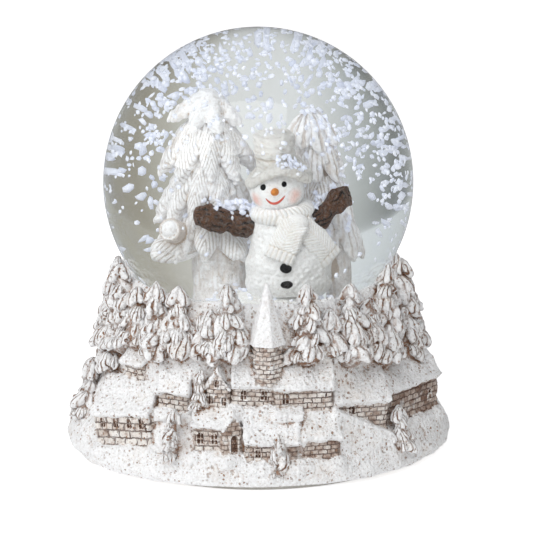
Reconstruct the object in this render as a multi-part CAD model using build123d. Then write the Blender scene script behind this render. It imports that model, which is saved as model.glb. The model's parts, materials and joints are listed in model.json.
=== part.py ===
"""Water-filled snow globe on a cast resin village base, millimetres, +Z up.

Origin: on the globe's vertical axis, in the plane the felt pad rests on.
-Y is the front, the side the snowman faces.
"""
from build123d import *
import math
import os
import random

os.makedirs("parts", exist_ok=True)

# ---------------------------------------------------------------- dimensions
GLOBE_R = 40.0          # outside radius of the blown glass ball (80 mm globe)
GLASS_T = 2.0           # glass wall
GLOBE_Z = 69.0          # height of the ball's centre
NECK_R = 25.0           # outside radius of the neck
NECK_BORE_R = 23.0      # inside radius of the neck
NECK_END_Z = 27.0       # the lip's lower face
LIP_R = 26.4            # beaded lip
LIP_H = 2.6

STOPPER_TOP_Z = 38.0    # rubber stopper's upper face, inside the neck
STOPPER_FLANGE_T = 2.6
STOPPER_FLANGE_R = 26.4
FILL_HOLE_R = 2.0       # refill hole through the stopper
FILL_HOLE_Y = 19.3
PLUG_CLEAR = 0.05       # radial running clearance of the refill plug
PLUG_HEAD_R = 4.0
PLUG_HEAD_T = 2.0
PLUG_TRAVEL = 14.0

FELT_T = 1.2
FELT_R = 42.5
COVER_T = 2.0
COVER_R = 38.5
CAVITY_R_LOW = 36.5     # hollow underside, drafted
CAVITY_R_TOP = 32.5
CAVITY_TOP_Z = 20.5
SEAT_BORE_R = 27.8
SEAT_GAP = 0.3          # adhesive bed between glass and casting

MOUND_R = 16.8          # plinth of the inner scene
MOUND_TOP_Z = 48.0
FLAKE_COUNT = 130

RIM_R = 32.4

# Footprint radius by bearing in degrees from the front, positive towards +X.
FOOT = [(-180, 46.5), (-150, 48.0), (-125, 49.5), (-105, 49.8), (-75, 50.2), (-54, 50.6), (-30, 47.2), (-10, 45.0),
        (5, 44.9), (22, 45.5), (42, 47.0), (62, 48.6), (88, 50.6), (105, 50.0), (125, 49.3), (150, 48.0), (180, 46.5)]
# Side profile: height, share of the way from the rim radius to the foot radius.
PROFILE = [(FELT_T, 0.965), (3.0, 1.0), (5.5, 0.965), (9.0, 0.87), (15.0, 0.64), (22.0, 0.48), (30.0, 0.37),
           (37.0, 0.28), (42.0, 0.18), (45.0, 0.08), (46.6, -0.03)]


def interp(table, x):
    for (x0, y0), (x1, y1) in zip(table, table[1:]):
        if x0 <= x <= x1:
            return y0 + (y1 - y0) * (x - x0) / (x1 - x0)
    return table[0][1] if x < table[0][0] else table[-1][1]


def smooth_foot(bearing):
    """Footprint radius, eased over 24 degrees so that the outline has round corners."""
    total = 0.0
    for k in range(-4, 5):
        b = (bearing + k * 3 + 180) % 360 - 180
        total += interp(FOOT, b)
    return total / 9


def core_r(bearing, z):
    return RIM_R + (smooth_foot(bearing) - RIM_R) * interp(PROFILE, z)


def at(bearing, r, z=0.0):
    a = math.radians(bearing)
    return (r * math.sin(a), -r * math.cos(a), z)


def one(shape):
    """The single solid of a boolean result, or a compound of its solids."""
    solids = shape.solids() if hasattr(shape, "solids") else [shape]
    solids = [s for s in solids if s.volume > 0.01]
    return solids[0] if len(solids) == 1 else Compound(children=list(solids))


def save(shape, node):
    shape = one(shape)
    shape.label = node
    export_step(shape, f"parts/{node}.step")


# ---------------------------------------------------------------- village base
sections = []
for z, _ in PROFILE:
    pts = [Vector(*at(b, core_r(b, z), z)) for b in range(-180, 180, 15)]
    sections.append(Wire([Edge.make_spline(pts, periodic=True)]))
core = Solid.make_loft(sections, ruled=False)

# Pines round the rim: foot and apex of the axis, and the widest radius
RIM_TREES = [((-36.2, -15.4, 25.0), (-35.2, -8.6, 49.8), 5.9), ((-25.4, -29.0, 27.5), (-24.8, -27.2, 49.0), 4.2),
             ((-19.6, -32.2, 29.5), (-20.3, -30.2, 49.4), 4.9), ((-13.4, -35.2, 31.5), (-13.0, -34.2, 46.0), 4.6),
             ((-6.6, -36.4, 31.5), (-6.4, -35.6, 52.0), 5.1), ((12.0, -35.6, 29.0), (12.4, -34.2, 50.9), 5.7),
             ((23.4, -31.0, 25.6), (23.0, -28.2, 49.5), 5.5), ((31.6, -22.8, 26.4), (33.2, -14.4, 50.8), 5.6),
             ((37.8, -9.6, 25.0), (37.0, -3.0, 49.6), 5.4), ((-31.0, -23.4, 26.0), (-30.2, -20.4, 46.6), 4.9),
             ((18.2, -33.4, 29.0), (18.0, -32.0, 44.2), 3.6), ((28.2, -27.2, 29.0), (28.2, -24.4, 45.0), 3.8),
             ((-34.4, -19.6, 30.5), (-33.2, -16.4, 43.8), 4.2), ((38.8, -1.4, 27.0), (37.4, -1.3, 45.9), 5.2),
             ((37.6, 9.4, 24.0), (36.3, 9.0, 47.4), 5.4), ((33.4, 19.3, 26.0), (32.4, 18.7, 45.0), 4.8),
             ((27.6, 26.7, 25.0), (26.9, 26.0, 47.4), 5.3), ((19.1, 33.1, 25.5), (18.7, 32.4, 46.0), 5.0),
             ((9.2, 36.9, 24.5), (9.0, 36.3, 48.0), 5.4), ((-2.0, 37.9, 26.5), (-2.0, 37.3, 45.8), 4.9),
             ((-12.4, 35.9, 24.0), (-12.2, 35.4, 48.2), 5.5), ((-22.0, 31.4, 26.5), (-21.5, 30.6, 45.8), 4.9),
             ((-29.4, 24.7, 24.5), (-28.7, 24.0, 47.8), 5.3), ((-35.0, 16.3, 26.5), (-33.9, 15.8, 45.4), 5.0),
             ((-38.2, 6.7, 25.0), (-36.8, 6.5, 47.6), 5.3), ((-38.7, -2.7, 27.0), (-37.1, -2.6, 45.0), 4.8)]
# Small trees among the houses: bearing, radius and height of the foot, radius and height of the apex, widest radius
LOW_TREES = [(-21.0, 40.4, 20.5, 39.0, 29.4, 1.9), (-28.5, 44.6, 8.0, 43.4, 18.6, 2.3), (6.6, 44.0, 4.5, 43.6, 14.0, 2.3),
             (52.5, 46.2, 6.5, 44.6, 15.4, 2.6), (-78.0, 46.6, 9.5, 43.6, 24.0, 3.3), (118.0, 45.4, 8.5, 43.8, 19.0, 2.6),
             (172.0, 43.4, 8.0, 42.0, 18.5, 2.5), (-133.0, 45.2, 8.5, 43.4, 19.5, 2.6)]
# Houses: x, y and z of the front wall's foot, bearing the wall faces, width, wall height, roof run, roof rise, gable front
HOUSES = [(-33.9, -31.9, 8.2, -33.0, 17.6, 7.6, 9.0, 7.8, False), (-32.0, -25.4, 21.9, -40.0, 7.0, 3.4, 3.4, 2.4, False),
          (-21.4, -34.9, 18.6, -22.0, 8.6, 4.2, 6.4, 7.0, False), (-10.2, -39.6, 19.6, -10.0, 6.2, 5.6, 6.0, 4.8, True),
          (-1.2, -39.4, 21.0, 8.0, 10.8, 4.6, 6.5, 6.2, False), (11.4, -38.6, 18.8, 9.0, 14.8, 6.4, 7.4, 7.0, False),
          (-12.4, -42.0, 10.0, -9.0, 7.8, 6.2, 5.6, 5.4, False), (-6.1, -43.2, 9.6, 24.0, 5.2, 6.2, 5.0, 4.0, True),
          (7.8, -41.4, 14.8, 2.0, 6.4, 3.2, 3.6, 1.2, False), (3.4, -43.5, 7.8, 2.0, 13.4, 4.6, 5.4, 7.0, False),
          (15.9, -41.3, 7.8, 13.0, 9.4, 5.0, 4.6, 5.2, False), (25.9, -33.4, 13.0, 22.0, 14.8, 4.4, 8.2, 7.6, False),
          (39.6, -18.2, 13.0, 54.0, 25.0, 6.4, 7.6, 7.8, False), (45.0, 9.5, 8.5, 96.0, 14.0, 7.2, 7.6, 8.0, False),
          (35.8, 27.8, 8.5, 128.0, 15.0, 7.2, 7.6, 8.0, False), (22.6, 31.8, 19.0, 145.0, 11.0, 5.0, 6.0, 6.0, False),
          (14.5, 41.2, 8.0, 160.0, 14.2, 7.2, 7.6, 7.4, False), (0.5, 38.4, 19.2, 180.0, 12.6, 5.4, 6.0, 6.2, False),
          (-14.5, 41.6, 8.0, -162.0, 14.2, 7.2, 7.6, 7.4, False), (-23.2, 32.0, 19.2, -143.0, 11.0, 5.0, 6.0, 6.0, False),
          (-35.8, 27.8, 8.5, -128.0, 15.0, 7.2, 7.6, 8.0, False), (-44.8, 7.5, 8.5, -97.0, 14.5, 7.2, 7.6, 8.0, False),
          (38.6, 9.8, 20.8, 104.0, 9.0, 4.2, 5.0, 4.6, False), (-38.6, 9.8, 20.8, -104.0, 9.0, 4.2, 5.0, 4.6, False)]
SPIRE = (2.2, -37.4, 29.0, 37.0, 52.4, 3.85)   # x, y, tower foot, eaves, tip, across half

added = []
trees = RIM_TREES + [(at(b, r0, z0), at(b, r1, z1), rad) for b, r0, z0, r1, z1, rad in LOW_TREES]
for (x0, y0, z0), (x1, y1, z1), rad in trees:
    h = z1 - z0
    for low, high, wide, tip in ((0.0, 0.5, 1.0, 0.5), (0.3, 0.78, 0.8, 0.36), (0.6, 1.0, 0.6, 0.08)):
        axis = Vector(x1 - x0, y1 - y0, h).normalized()
        foot = Vector(x0 + (x1 - x0) * low, y0 + (y1 - y0) * low, z0 + h * low)
        added.append(Solid.make_cone(rad * wide, rad * tip, h * (high - low), Plane(origin=foot, z_dir=axis)))

for x, y, z, bearing, w, h, run, rise, gable in HOUSES:
    a = math.radians(bearing)
    n = Vector(math.sin(a), -math.cos(a), 0)
    t = Vector(math.cos(a), math.sin(a), 0)
    o = Vector(x, y, z)
    up = Vector(0, 0, 1)
    eave = 0.7
    if gable:
        ring = [o - t * (w / 2), o + t * (w / 2), o + t * (w / 2) + up * h, o + up * (h + rise), o - t * (w / 2) + up * h]
        added.append(Solid.extrude(Face(Wire.make_polygon(ring, close=True)), -n * (run + 1.0)))
    else:
        p = o - t * (w / 2)
        ring = [p, p + up * h, p + n * eave + up * (h - 0.5), p + n * eave + up * (h + 0.5), p - n * run + up * (h + rise + 0.5),
                p - n * (run + 3.0) + up * (h + rise - 1.0), p - n * (run + 3.0)]
        added.append(Solid.extrude(Face(Wire.make_polygon(ring, close=True)), t * w))

sx, sy, s0, s1, s2, sr = SPIRE
tower = Pos(sx, sy, (s0 + s1) / 2) * Box(sr * 1.75, sr * 1.75, s1 - s0)
roof = Solid.make_loft([Wire.make_polygon([Vector(sx + sr * 1.06 * math.cos(math.radians(22.5 + 45 * k)), sy + sr * 1.06 * math.sin(math.radians(22.5 + 45 * k)), s1 - 0.2) for k in range(8)], close=True),
                        Wire.make_polygon([Vector(sx + 0.45 * math.cos(math.radians(22.5 + 45 * k)), sy + 0.45 * math.sin(math.radians(22.5 + 45 * k)), s2) for k in range(8)], close=True)], ruled=True)
added += [tower.solid(), roof]
casting = core.fuse(*added)

seat = Pos(0, 0, GLOBE_Z) * Sphere(GLOBE_R + SEAT_GAP)
bore = Pos(0, 0, CAVITY_TOP_Z - 1) * Cylinder(SEAT_BORE_R, 24, align=(Align.CENTER, Align.CENTER, Align.MIN))
cavity = Solid.make_cone(CAVITY_R_LOW, CAVITY_R_TOP, CAVITY_TOP_Z - FELT_T - COVER_T, Plane(origin=(0, 0, FELT_T + COVER_T), z_dir=(0, 0, 1)))
rebate = Pos(0, 0, FELT_T - 1) * Cylinder(COVER_R + 0.2, COVER_T + 1, align=(Align.CENTER, Align.CENTER, Align.MIN))
casting = casting - seat - bore - cavity - rebate
big = max(casting.solids(), key=lambda s: s.volume)
save(big, "base_casting")
print("base_casting solids", len(casting.solids()), "volume", round(big.volume))

# ---------------------------------------------------------------- globe
outer = Pos(0, 0, GLOBE_Z) * Sphere(GLOBE_R)
neck = Pos(0, 0, NECK_END_Z) * Cylinder(NECK_R, 14, align=(Align.CENTER, Align.CENTER, Align.MIN))
lip = Pos(0, 0, NECK_END_Z) * Cylinder(LIP_R, LIP_H, align=(Align.CENTER, Align.CENTER, Align.MIN))
lip = fillet(lip.edges().filter_by(GeomType.CIRCLE), 0.8)
inner = Pos(0, 0, GLOBE_Z) * Sphere(GLOBE_R - GLASS_T)
neck_in = Pos(0, 0, NECK_END_Z - 1) * Cylinder(NECK_BORE_R, 14, align=(Align.CENTER, Align.CENTER, Align.MIN))
glass = (outer + neck + lip) - inner - neck_in
save(glass, "glass_globe")

# ---------------------------------------------------------------- stopper, seals, refill plug
flange_low = NECK_END_Z - STOPPER_FLANGE_T
flange = Pos(0, 0, flange_low) * Cylinder(STOPPER_FLANGE_R, STOPPER_FLANGE_T, align=(Align.CENTER, Align.CENTER, Align.MIN))
plug_body = Pos(0, 0, NECK_END_Z) * Cylinder(NECK_BORE_R - 0.5, STOPPER_TOP_Z - NECK_END_Z, align=(Align.CENTER, Align.CENTER, Align.MIN))
stopper = flange + plug_body
for z in (28.6, 31.4, 34.2, 36.6):      # four sealing ribs
    stopper += Pos(0, 0, z) * Cylinder(NECK_BORE_R, 1.4, align=(Align.CENTER, Align.CENTER, Align.MIN))
stopper -= Pos(0, FILL_HOLE_Y, flange_low - 1) * Cylinder(FILL_HOLE_R, 16, align=(Align.CENTER, Align.CENTER, Align.MIN))
stopper -= Pos(0, 0, flange_low - 1) * Cylinder(11.0, 7.0, align=(Align.CENTER, Align.CENTER, Align.MIN))   # moulded relief
save(stopper, "rubber_stopper")

plug = Pos(0, FILL_HOLE_Y, flange_low) * Cylinder(FILL_HOLE_R - PLUG_CLEAR, 11.0, align=(Align.CENTER, Align.CENTER, Align.MIN))
plug += Pos(0, FILL_HOLE_Y, flange_low - PLUG_HEAD_T) * Cylinder(PLUG_HEAD_R, PLUG_HEAD_T, align=(Align.CENTER, Align.CENTER, Align.MIN))
save(plug, "refill_plug")

seal_prof = make_face(Polyline((LIP_R, flange_low), (SEAT_BORE_R - 0.4, flange_low + 0.5), (SEAT_BORE_R - 0.4, NECK_END_Z + LIP_H + 0.6),
                               (NECK_R, NECK_END_Z + LIP_H + 1.4), (NECK_R, NECK_END_Z + LIP_H), (LIP_R, NECK_END_Z + LIP_H), close=True))
seal = revolve(Plane.XZ * seal_prof, Axis.Z, 360) - lip - flange
save(seal, "silicone_seal")

bed = (Pos(0, 0, GLOBE_Z) * Sphere(GLOBE_R + SEAT_GAP)) - outer
bed = bed & (Pos(0, 0, 38.6) * (Cylinder(31.8, 6.2, align=(Align.CENTER, Align.CENTER, Align.MIN)) - Cylinder(27.9, 6.2, align=(Align.CENTER, Align.CENTER, Align.MIN))))
save(bed, "globe_bedding")

# ---------------------------------------------------------------- inner scene
glue = Pos(0, 0, STOPPER_TOP_Z) * Cylinder(15.5, 0.5, align=(Align.CENTER, Align.CENTER, Align.MIN))
save(glue, "scene_adhesive")
mound = Solid.make_cone(MOUND_R, 17.6, 6.0, Plane(origin=(0, 0, STOPPER_TOP_Z + 0.5), z_dir=(0, 0, 1)))
mound = mound + Solid.make_cone(17.6, 14.5, MOUND_TOP_Z - STOPPER_TOP_Z - 6.5, Plane(origin=(0, 0, STOPPER_TOP_Z + 6.5), z_dir=(0, 0, 1)))


def pine(x, y, trunk_z, trunk_r, tiers):
    """A pine of stacked drooping tiers: (low z, high z, low radius, high radius, x shift, y shift)."""
    shape = Pos(x, y, trunk_z) * Cylinder(trunk_r, tiers[0][0] - trunk_z + 2.0, align=(Align.CENTER, Align.CENTER, Align.MIN))
    for z0, z1, ra, rb, dx, dy in tiers:
        shape = shape + Solid.make_cone(ra, rb, z1 - z0, Plane(origin=(x + dx, y + dy, z0), z_dir=(0, 0, 1)))
    return shape


tree_l = pine(-8.6, 5.0, 47.0, 4.4, [(53.0, 60.0, 11.0, 4.5, -0.6, 0.5), (58.5, 70.0, 9.0, 4.0, -0.6, 0.5), (67.5, 79.0, 8.0, 3.4, -0.2, 0.4), (76.5, 85.5, 6.0, 0.8, -0.4, 0.2)])
tree_r = pine(11.0, 6.5, 47.0, 2.8, [(53.0, 62.5, 7.6, 2.6, 1.0, 0.0), (60.5, 72.5, 6.0, 2.6, 0.0, 0.3), (70.5, 82.0, 5.0, 0.6, -0.6, 0.0)])
body = (Pos(5.9, -4.4, 54.4) * Sphere(8.6)) & (Pos(5.9, -4.4, 47.6) * Box(30, 30, 30, align=(Align.CENTER, Align.CENTER, Align.MIN)))
man = body + Pos(5.2, -4.2, 59.8) * Sphere(6.2) + Pos(3.6, -5.0, 68.0) * Sphere(5.3)
man += Pos(4.2, -4.8, 63.6) * Rot(0, 8, 0) * Torus(4.6, 1.7)
man += Pos(2.9, -4.4, 71.2) * Rot(10, -8, 0) * Cylinder(6.2, 1.3, align=(Align.CENTER, Align.CENTER, Align.MIN))
man += Pos(2.6, -4.0, 71.8) * Rot(8, -10, 0) * Solid.make_cone(4.2, 3.9, 7.0, Plane.XY)
man += Pos(3.4, -10.4, 69.0) * Rot(90, 0, 0) * Cone(0.9, 0.3, 1.8)


def limb(p, q, r0, r1):
    p, q = Vector(*p), Vector(*q)
    return Solid.make_cone(r0, r1, (q - p).length, Plane(origin=p, z_dir=(q - p).normalized()))


arm_l = limb((0.6, -4.2, 60.6), (-11.0, -4.6, 62.6), 1.9, 2.2)
arm_r = limb((9.4, -3.0, 61.4), (17.6, -2.6, 68.0), 1.7, 1.5)
man = man - arm_l - arm_r
tree_l = tree_l - man - arm_l
tree_r = tree_r - man - arm_r
tree_l, tree_r, man = tree_l - mound, tree_r - mound - tree_l, man - mound
save(mound, "snow_mound")
save(tree_l, "fir_tree_left")
save(tree_r, "fir_tree_right")
save(man, "snowman")
save(arm_l, "twig_arm_left")
save(arm_r, "twig_arm_right")

# ---------------------------------------------------------------- flakes
random.seed(11)


def swept_r(z):
    """Radius the inner scene sweeps when turned about the globe's axis, with room."""
    return 23.6 if z < 62 else 22.2 if z < 75 else 19.0 if z < 80.5 else 16.6 if z < 88.5 else 0.0


def chip(x, y, z, size):
    a, b, c = (random.uniform(0, 360) for _ in range(3))
    s = [size * random.uniform(0.7, 1.15) for _ in range(3)]
    return Pos(x, y, z) * Rot(a, b, c) * Box(s[0], s[1], s[2] * 0.75)


spots = []
while len(spots) < FLAKE_COUNT:
    z = random.uniform(50, 104)
    rho = random.uniform(0, 36)
    th = random.uniform(0, 360)
    x, y = rho * math.sin(math.radians(th)), -rho * math.cos(math.radians(th))
    if math.hypot(rho, z - GLOBE_Z) > 36.2 or rho < swept_r(z) + 1.2:
        continue
    if random.random() > (0.25 if abs(th - 180) > 140 and z < 85 else 1.0) or any((x - a) ** 2 + (y - b) ** 2 + (z - c) ** 2 < 5.5 for a, b, c in spots):
        continue
    spots.append((x, y, z))
flakes = Compound(children=[chip(x, y, z, 1.3) for x, y, z in spots])
save(flakes, "snow_flakes")

# Flakes that have settled on the twig arms, hat brim and boughs
resting = [(-2.6, -4.6, 64.0, 0.9), (-4.6, -4.2, 64.5, 1.0), (-6.6, -4.8, 64.9, 1.0), (-3.6, -5.6, 63.9, 0.8), (14.0, -3.2, 68.2, 0.9), (12.2, -2.4, 66.9, 0.9),
           (4.9, -9.2, 73.2, 0.8), (6.8, -8.6, 73.6, 0.8), (8.2, -7.0, 74.2, 0.9), (15.9, -2.2, 69.4, 0.8)]
settled = [chip(x, y, z, s) for x, y, z, s in resting]
settled = Compound(children=[s for c in settled for s in (c - man - arm_l - arm_r - tree_l - tree_r).solids() if s.volume > 0.05])
save(settled, "settled_flakes")

# ---------------------------------------------------------------- liquid
liquid = inner + Pos(0, 0, STOPPER_TOP_Z) * Cylinder(NECK_BORE_R, 3, align=(Align.CENTER, Align.CENTER, Align.MIN))
liquid = liquid - (Pos(0, 0, STOPPER_TOP_Z - 20) * Cylinder(60, 20, align=(Align.CENTER, Align.CENTER, Align.MIN)))
for s in (glue, mound, tree_l, tree_r, man, arm_l, arm_r):
    liquid = liquid - s
liquid = liquid - list(settled.solids())
liquid = max(liquid.solids(), key=lambda s: s.volume)
save(liquid, "globe_liquid")

# ---------------------------------------------------------------- underside
cover = Pos(0, 0, FELT_T) * Cylinder(COVER_R, COVER_T, align=(Align.CENTER, Align.CENTER, Align.MIN))
save(cover, "base_cover")
felt = Cylinder(FELT_R, FELT_T, align=(Align.CENTER, Align.CENTER, Align.MIN))
save(felt, "felt_pad")
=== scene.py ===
"""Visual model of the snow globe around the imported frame. Millimetre sculpting, metre objects."""
import json
import math
import random
import time

import bpy
import numpy as np
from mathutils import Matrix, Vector

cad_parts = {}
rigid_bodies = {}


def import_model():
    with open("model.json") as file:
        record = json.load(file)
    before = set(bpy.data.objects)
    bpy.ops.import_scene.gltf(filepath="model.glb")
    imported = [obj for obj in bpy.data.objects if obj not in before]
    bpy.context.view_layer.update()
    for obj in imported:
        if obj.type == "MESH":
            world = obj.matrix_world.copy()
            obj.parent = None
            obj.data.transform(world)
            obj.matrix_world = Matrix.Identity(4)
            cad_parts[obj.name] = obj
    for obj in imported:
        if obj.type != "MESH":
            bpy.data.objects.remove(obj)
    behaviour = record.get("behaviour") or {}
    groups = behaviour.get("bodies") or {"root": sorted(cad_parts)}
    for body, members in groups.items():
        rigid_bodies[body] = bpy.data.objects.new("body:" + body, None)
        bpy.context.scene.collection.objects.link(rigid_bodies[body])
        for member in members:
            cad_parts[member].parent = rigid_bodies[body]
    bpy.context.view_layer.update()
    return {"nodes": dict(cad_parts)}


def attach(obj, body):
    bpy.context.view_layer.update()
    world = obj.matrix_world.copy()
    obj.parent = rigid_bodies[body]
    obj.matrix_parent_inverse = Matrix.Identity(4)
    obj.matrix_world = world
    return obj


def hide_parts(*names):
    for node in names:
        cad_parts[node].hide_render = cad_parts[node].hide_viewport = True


T0 = time.time()
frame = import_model()
f4 = np.float32
RNG = np.random.RandomState(7)


def log(*words):
    print("[%5.1f s]" % (time.time() - T0), *words, flush=True)


# ------------------------------------------------------------------ distance fields
class Field:
    """Signed distance grid in mm, negative inside, with a paint grid (0 clean to 1 dark) and a kind grid."""

    def __init__(self, lo, hi, h, kind=0):
        self.h = h
        self.lo = [float(c) for c in lo]
        self.n = [int(math.ceil((hi[i] - lo[i]) / h)) + 1 for i in range(3)]
        self.ax = [(self.lo[i] + h * np.arange(self.n[i])).astype(f4) for i in range(3)]
        self.D = np.full(self.n, 6.0, f4)
        self.P = np.zeros(self.n, np.float16)
        self.K = np.full(self.n, kind, np.uint8)
        self.N = np.zeros(self.n, np.uint16)
        self.tags = [None]

    def block(self, lo, hi):
        s = []
        for i in range(3):
            a = max(0, int((lo[i] - self.lo[i]) / self.h))
            b = min(self.n[i], int((hi[i] - self.lo[i]) / self.h) + 2)
            if b - a < 2:
                return None
            s.append(slice(a, b))
        return tuple(s), self.ax[0][s[0]][:, None, None], self.ax[1][s[1]][None, :, None], self.ax[2][s[2]][None, None, :]

    def add(self, lo, hi, fn, k=0.25, kind=None, tag=None):
        b = self.block(lo, hi)
        if b is None:
            return
        s, X, Y, Z = b
        d, p = fn(X, Y, Z)
        old = self.D[s]
        near = d < old
        if k > 0:
            hh = np.clip(0.5 + 0.5 * (old - d) / k, 0, 1)
            new = old + (d - old) * hh - k * hh * (1 - hh)
        else:
            new = np.minimum(old, d)
        if p is not None:
            self.P[s] = np.where(near, p, self.P[s])
        if kind is not None:
            self.K[s] = np.where(near, kind, self.K[s])
        num = 0
        if tag is not None:
            self.tags.append(tag)
            num = len(self.tags) - 1
        self.N[s] = np.where(near, num, self.N[s])
        self.D[s] = new

    def cut(self, lo, hi, fn, k=0.25, kind=None, paint=None):
        b = self.block(lo, hi)
        if b is None:
            return
        s, X, Y, Z = b
        d, p = fn(X, Y, Z)
        d = -d
        old = self.D[s]
        near = d > old
        if k > 0:
            hh = np.clip(0.5 - 0.5 * (old - d) / k, 0, 1)
            new = old + (d - old) * hh + k * hh * (1 - hh)
        else:
            new = np.maximum(old, d)
        if paint is not None:
            self.P[s] = np.where(near, paint, self.P[s])
        if kind is not None:
            self.K[s] = np.where(near, kind, self.K[s])
        self.D[s] = new


def waves(X, Y, Z, scale, seed, count=5):
    """A cheap smooth noise, about -1 to 1."""
    r = np.random.RandomState(seed)
    out = 0.0
    for _ in range(count):
        v = r.normal(size=3)
        v = v / np.linalg.norm(v) * (2 * math.pi / scale) * r.uniform(0.7, 1.4)
        out = out + np.sin((X * v[0] + Y * v[1] + Z * v[2] + r.uniform(0, 6.28)).astype(f4))
    return out / math.sqrt(count) / 1.2


def roughen(F, amp, scale, seed, kinds=None, band=1.6, count=6):
    idx = np.nonzero(np.abs(F.D) < band)
    if kinds is not None:
        keep = np.isin(F.K[idx], kinds)
        idx = tuple(i[keep] for i in idx)
    F.D[idx] += amp * waves(F.ax[0][idx[0]], F.ax[1][idx[1]], F.ax[2][idx[2]], scale, seed, count).astype(f4)


def blur(A, r):
    """Box blur by running sums, r cells either side."""
    for ax in range(3):
        n = A.shape[ax]
        pad = [(0, 0)] * 3
        pad[ax] = (r + 1, r)
        c = np.cumsum(np.pad(A, pad, mode="edge"), axis=ax, dtype=np.float64 if n > 3000 else f4)
        hi = [slice(None)] * 3
        lo = [slice(None)] * 3
        hi[ax] = slice(2 * r + 1, 2 * r + 1 + n)
        lo[ax] = slice(0, n)
        A = (c[tuple(hi)] - c[tuple(lo)]) / (2 * r + 1)
    return A.astype(f4)


EDGES = [(a, b) for a in range(8) for b in range(a + 1, 8) if bin(a ^ b).count("1") == 1]
CORNER = np.array([[(c >> 0) & 1, (c >> 1) & 1, (c >> 2) & 1] for c in range(8)], f4)


def nets(F, cav_mm=(0.8, 2.2)):
    """Naive surface nets. Returns vertices (mm), quads, paint, kind, fine and broad crevice measure."""
    D = F.D
    n0, n1, n2 = D.shape
    S = D < 0
    m = S[:-1, :-1, :-1].astype(np.uint8)
    total = m.copy()
    for c in range(1, 8):
        o = CORNER[c].astype(int)
        total += S[o[0]:n0 - 1 + o[0], o[1]:n1 - 1 + o[1], o[2]:n2 - 1 + o[2]]
    act = np.nonzero((total > 0) & (total < 8))
    del total, m
    base = np.stack(act, -1).astype(np.int32)
    N = len(base)
    val = np.empty((N, 8), f4)
    for c in range(8):
        o = CORNER[c].astype(int)
        val[:, c] = D[act[0] + o[0], act[1] + o[1], act[2] + o[2]]
    acc = np.zeros((N, 3), f4)
    cnt = np.zeros(N, f4)
    for a, b in EDGES:
        va, vb = val[:, a], val[:, b]
        x = (va < 0) != (vb < 0)
        t = np.where(x, va / np.where(x, va - vb, 1), 0)[:, None]
        p = CORNER[a] + t * (CORNER[b] - CORNER[a])
        acc += np.where(x[:, None], p, 0)
        cnt += x
    pos = acc / cnt[:, None]
    verts = (np.array(F.lo, f4) + F.h * (base + pos)).astype(f4)
    key = (base[:, 0].astype(np.int64) * n1 + base[:, 1]) * n2 + base[:, 2]
    quads = []
    for ax in range(3):
        o = [0, 0, 0]
        o[ax] = 1
        A = S[:n0 - o[0], :n1 - o[1], :n2 - o[2]]
        B = S[o[0]:, o[1]:, o[2]:]
        e = np.nonzero(A != B)
        e = np.stack(e, -1)
        u, v = (ax + 1) % 3, (ax + 2) % 3
        ok = (e[:, u] > 0) & (e[:, v] > 0) & (e[:, u] < D.shape[u] - 1) & (e[:, v] < D.shape[v] - 1)
        e = e[ok]
        inside = S[e[:, 0], e[:, 1], e[:, 2]]
        cells = []
        for du, dv in ((-1, -1), (0, -1), (0, 0), (-1, 0)):
            c = e.copy()
            c[:, u] += du
            c[:, v] += dv
            cells.append(np.searchsorted(key, (c[:, 0].astype(np.int64) * n1 + c[:, 1]) * n2 + c[:, 2]))
        q = np.stack(cells, -1)
        q[~inside] = q[~inside][:, ::-1]
        quads.append(q)
    quads = np.concatenate(quads)
    near = np.rint(base + pos).astype(int)
    near = tuple(np.clip(near[:, i], 0, D.shape[i] - 1) for i in range(3))
    paint = F.P[near].astype(f4)
    kind = F.K[near]
    cavs = []
    for mm in cav_mm:
        r = max(1, int(round(mm / F.h / 1.6)))
        A = np.clip(D, -mm, mm)
        B = blur(blur(A, r), r)
        cavs.append(-B[near] / mm)
        del A, B
    return verts, quads, paint, kind, cavs[0], cavs[1], F.N[near]


def surface_coords(F, verts, num):
    """Each vertex's place in its own bough or brick wall: tu counts needle lines or runs along the courses, tv runs along the bough or counts courses."""
    n = len(F.tags)
    tab = np.zeros((n, 13))
    walls = []
    for i, t in enumerate(F.tags):
        if t is None:
            continue
        if t[0] == "bough":
            tab[i] = t[1]
        else:
            walls.append((i, t))
    g = tab[num]
    p = verts - g[:, 0:3]
    pl = (p * g[:, 3:6]).sum(1)
    pw = (p * g[:, 6:9]).sum(1)
    al = np.where(g[:, 9] > 0, g[:, 9], 1)
    fan = np.arctan2(pw, pl + 1.75 * al) * g[:, 10] / 1.15 + g[:, 11] / (2 * math.pi)
    feather = (np.abs(pw) - 0.34 * pl) * g[:, 10]
    tu = np.where(g[:, 12] > 0.5, feather, fan)
    tv = pl / al
    for i, t in walls:
        m = num == i
        u, v, w = t[1](verts[m, 0], verts[m, 1], verts[m, 2])
        tu[m], tv[m] = u, w
    return tu, tv


def soften(verts, quads, times=1, amount=0.5):
    for _ in range(times):
        acc = np.zeros_like(verts)
        cnt = np.zeros(len(verts), f4)
        for i in range(4):
            a, b = quads[:, i], quads[:, (i + 1) % 4]
            for c in range(3):
                acc[:, c] += np.bincount(a, verts[b, c], len(verts)) + np.bincount(b, verts[a, c], len(verts))
            cnt += np.bincount(a, minlength=len(verts)) + np.bincount(b, minlength=len(verts))
        verts = (verts * (1 - amount) + acc / np.maximum(cnt, 1)[:, None] * amount).astype(f4)
    return verts


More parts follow.
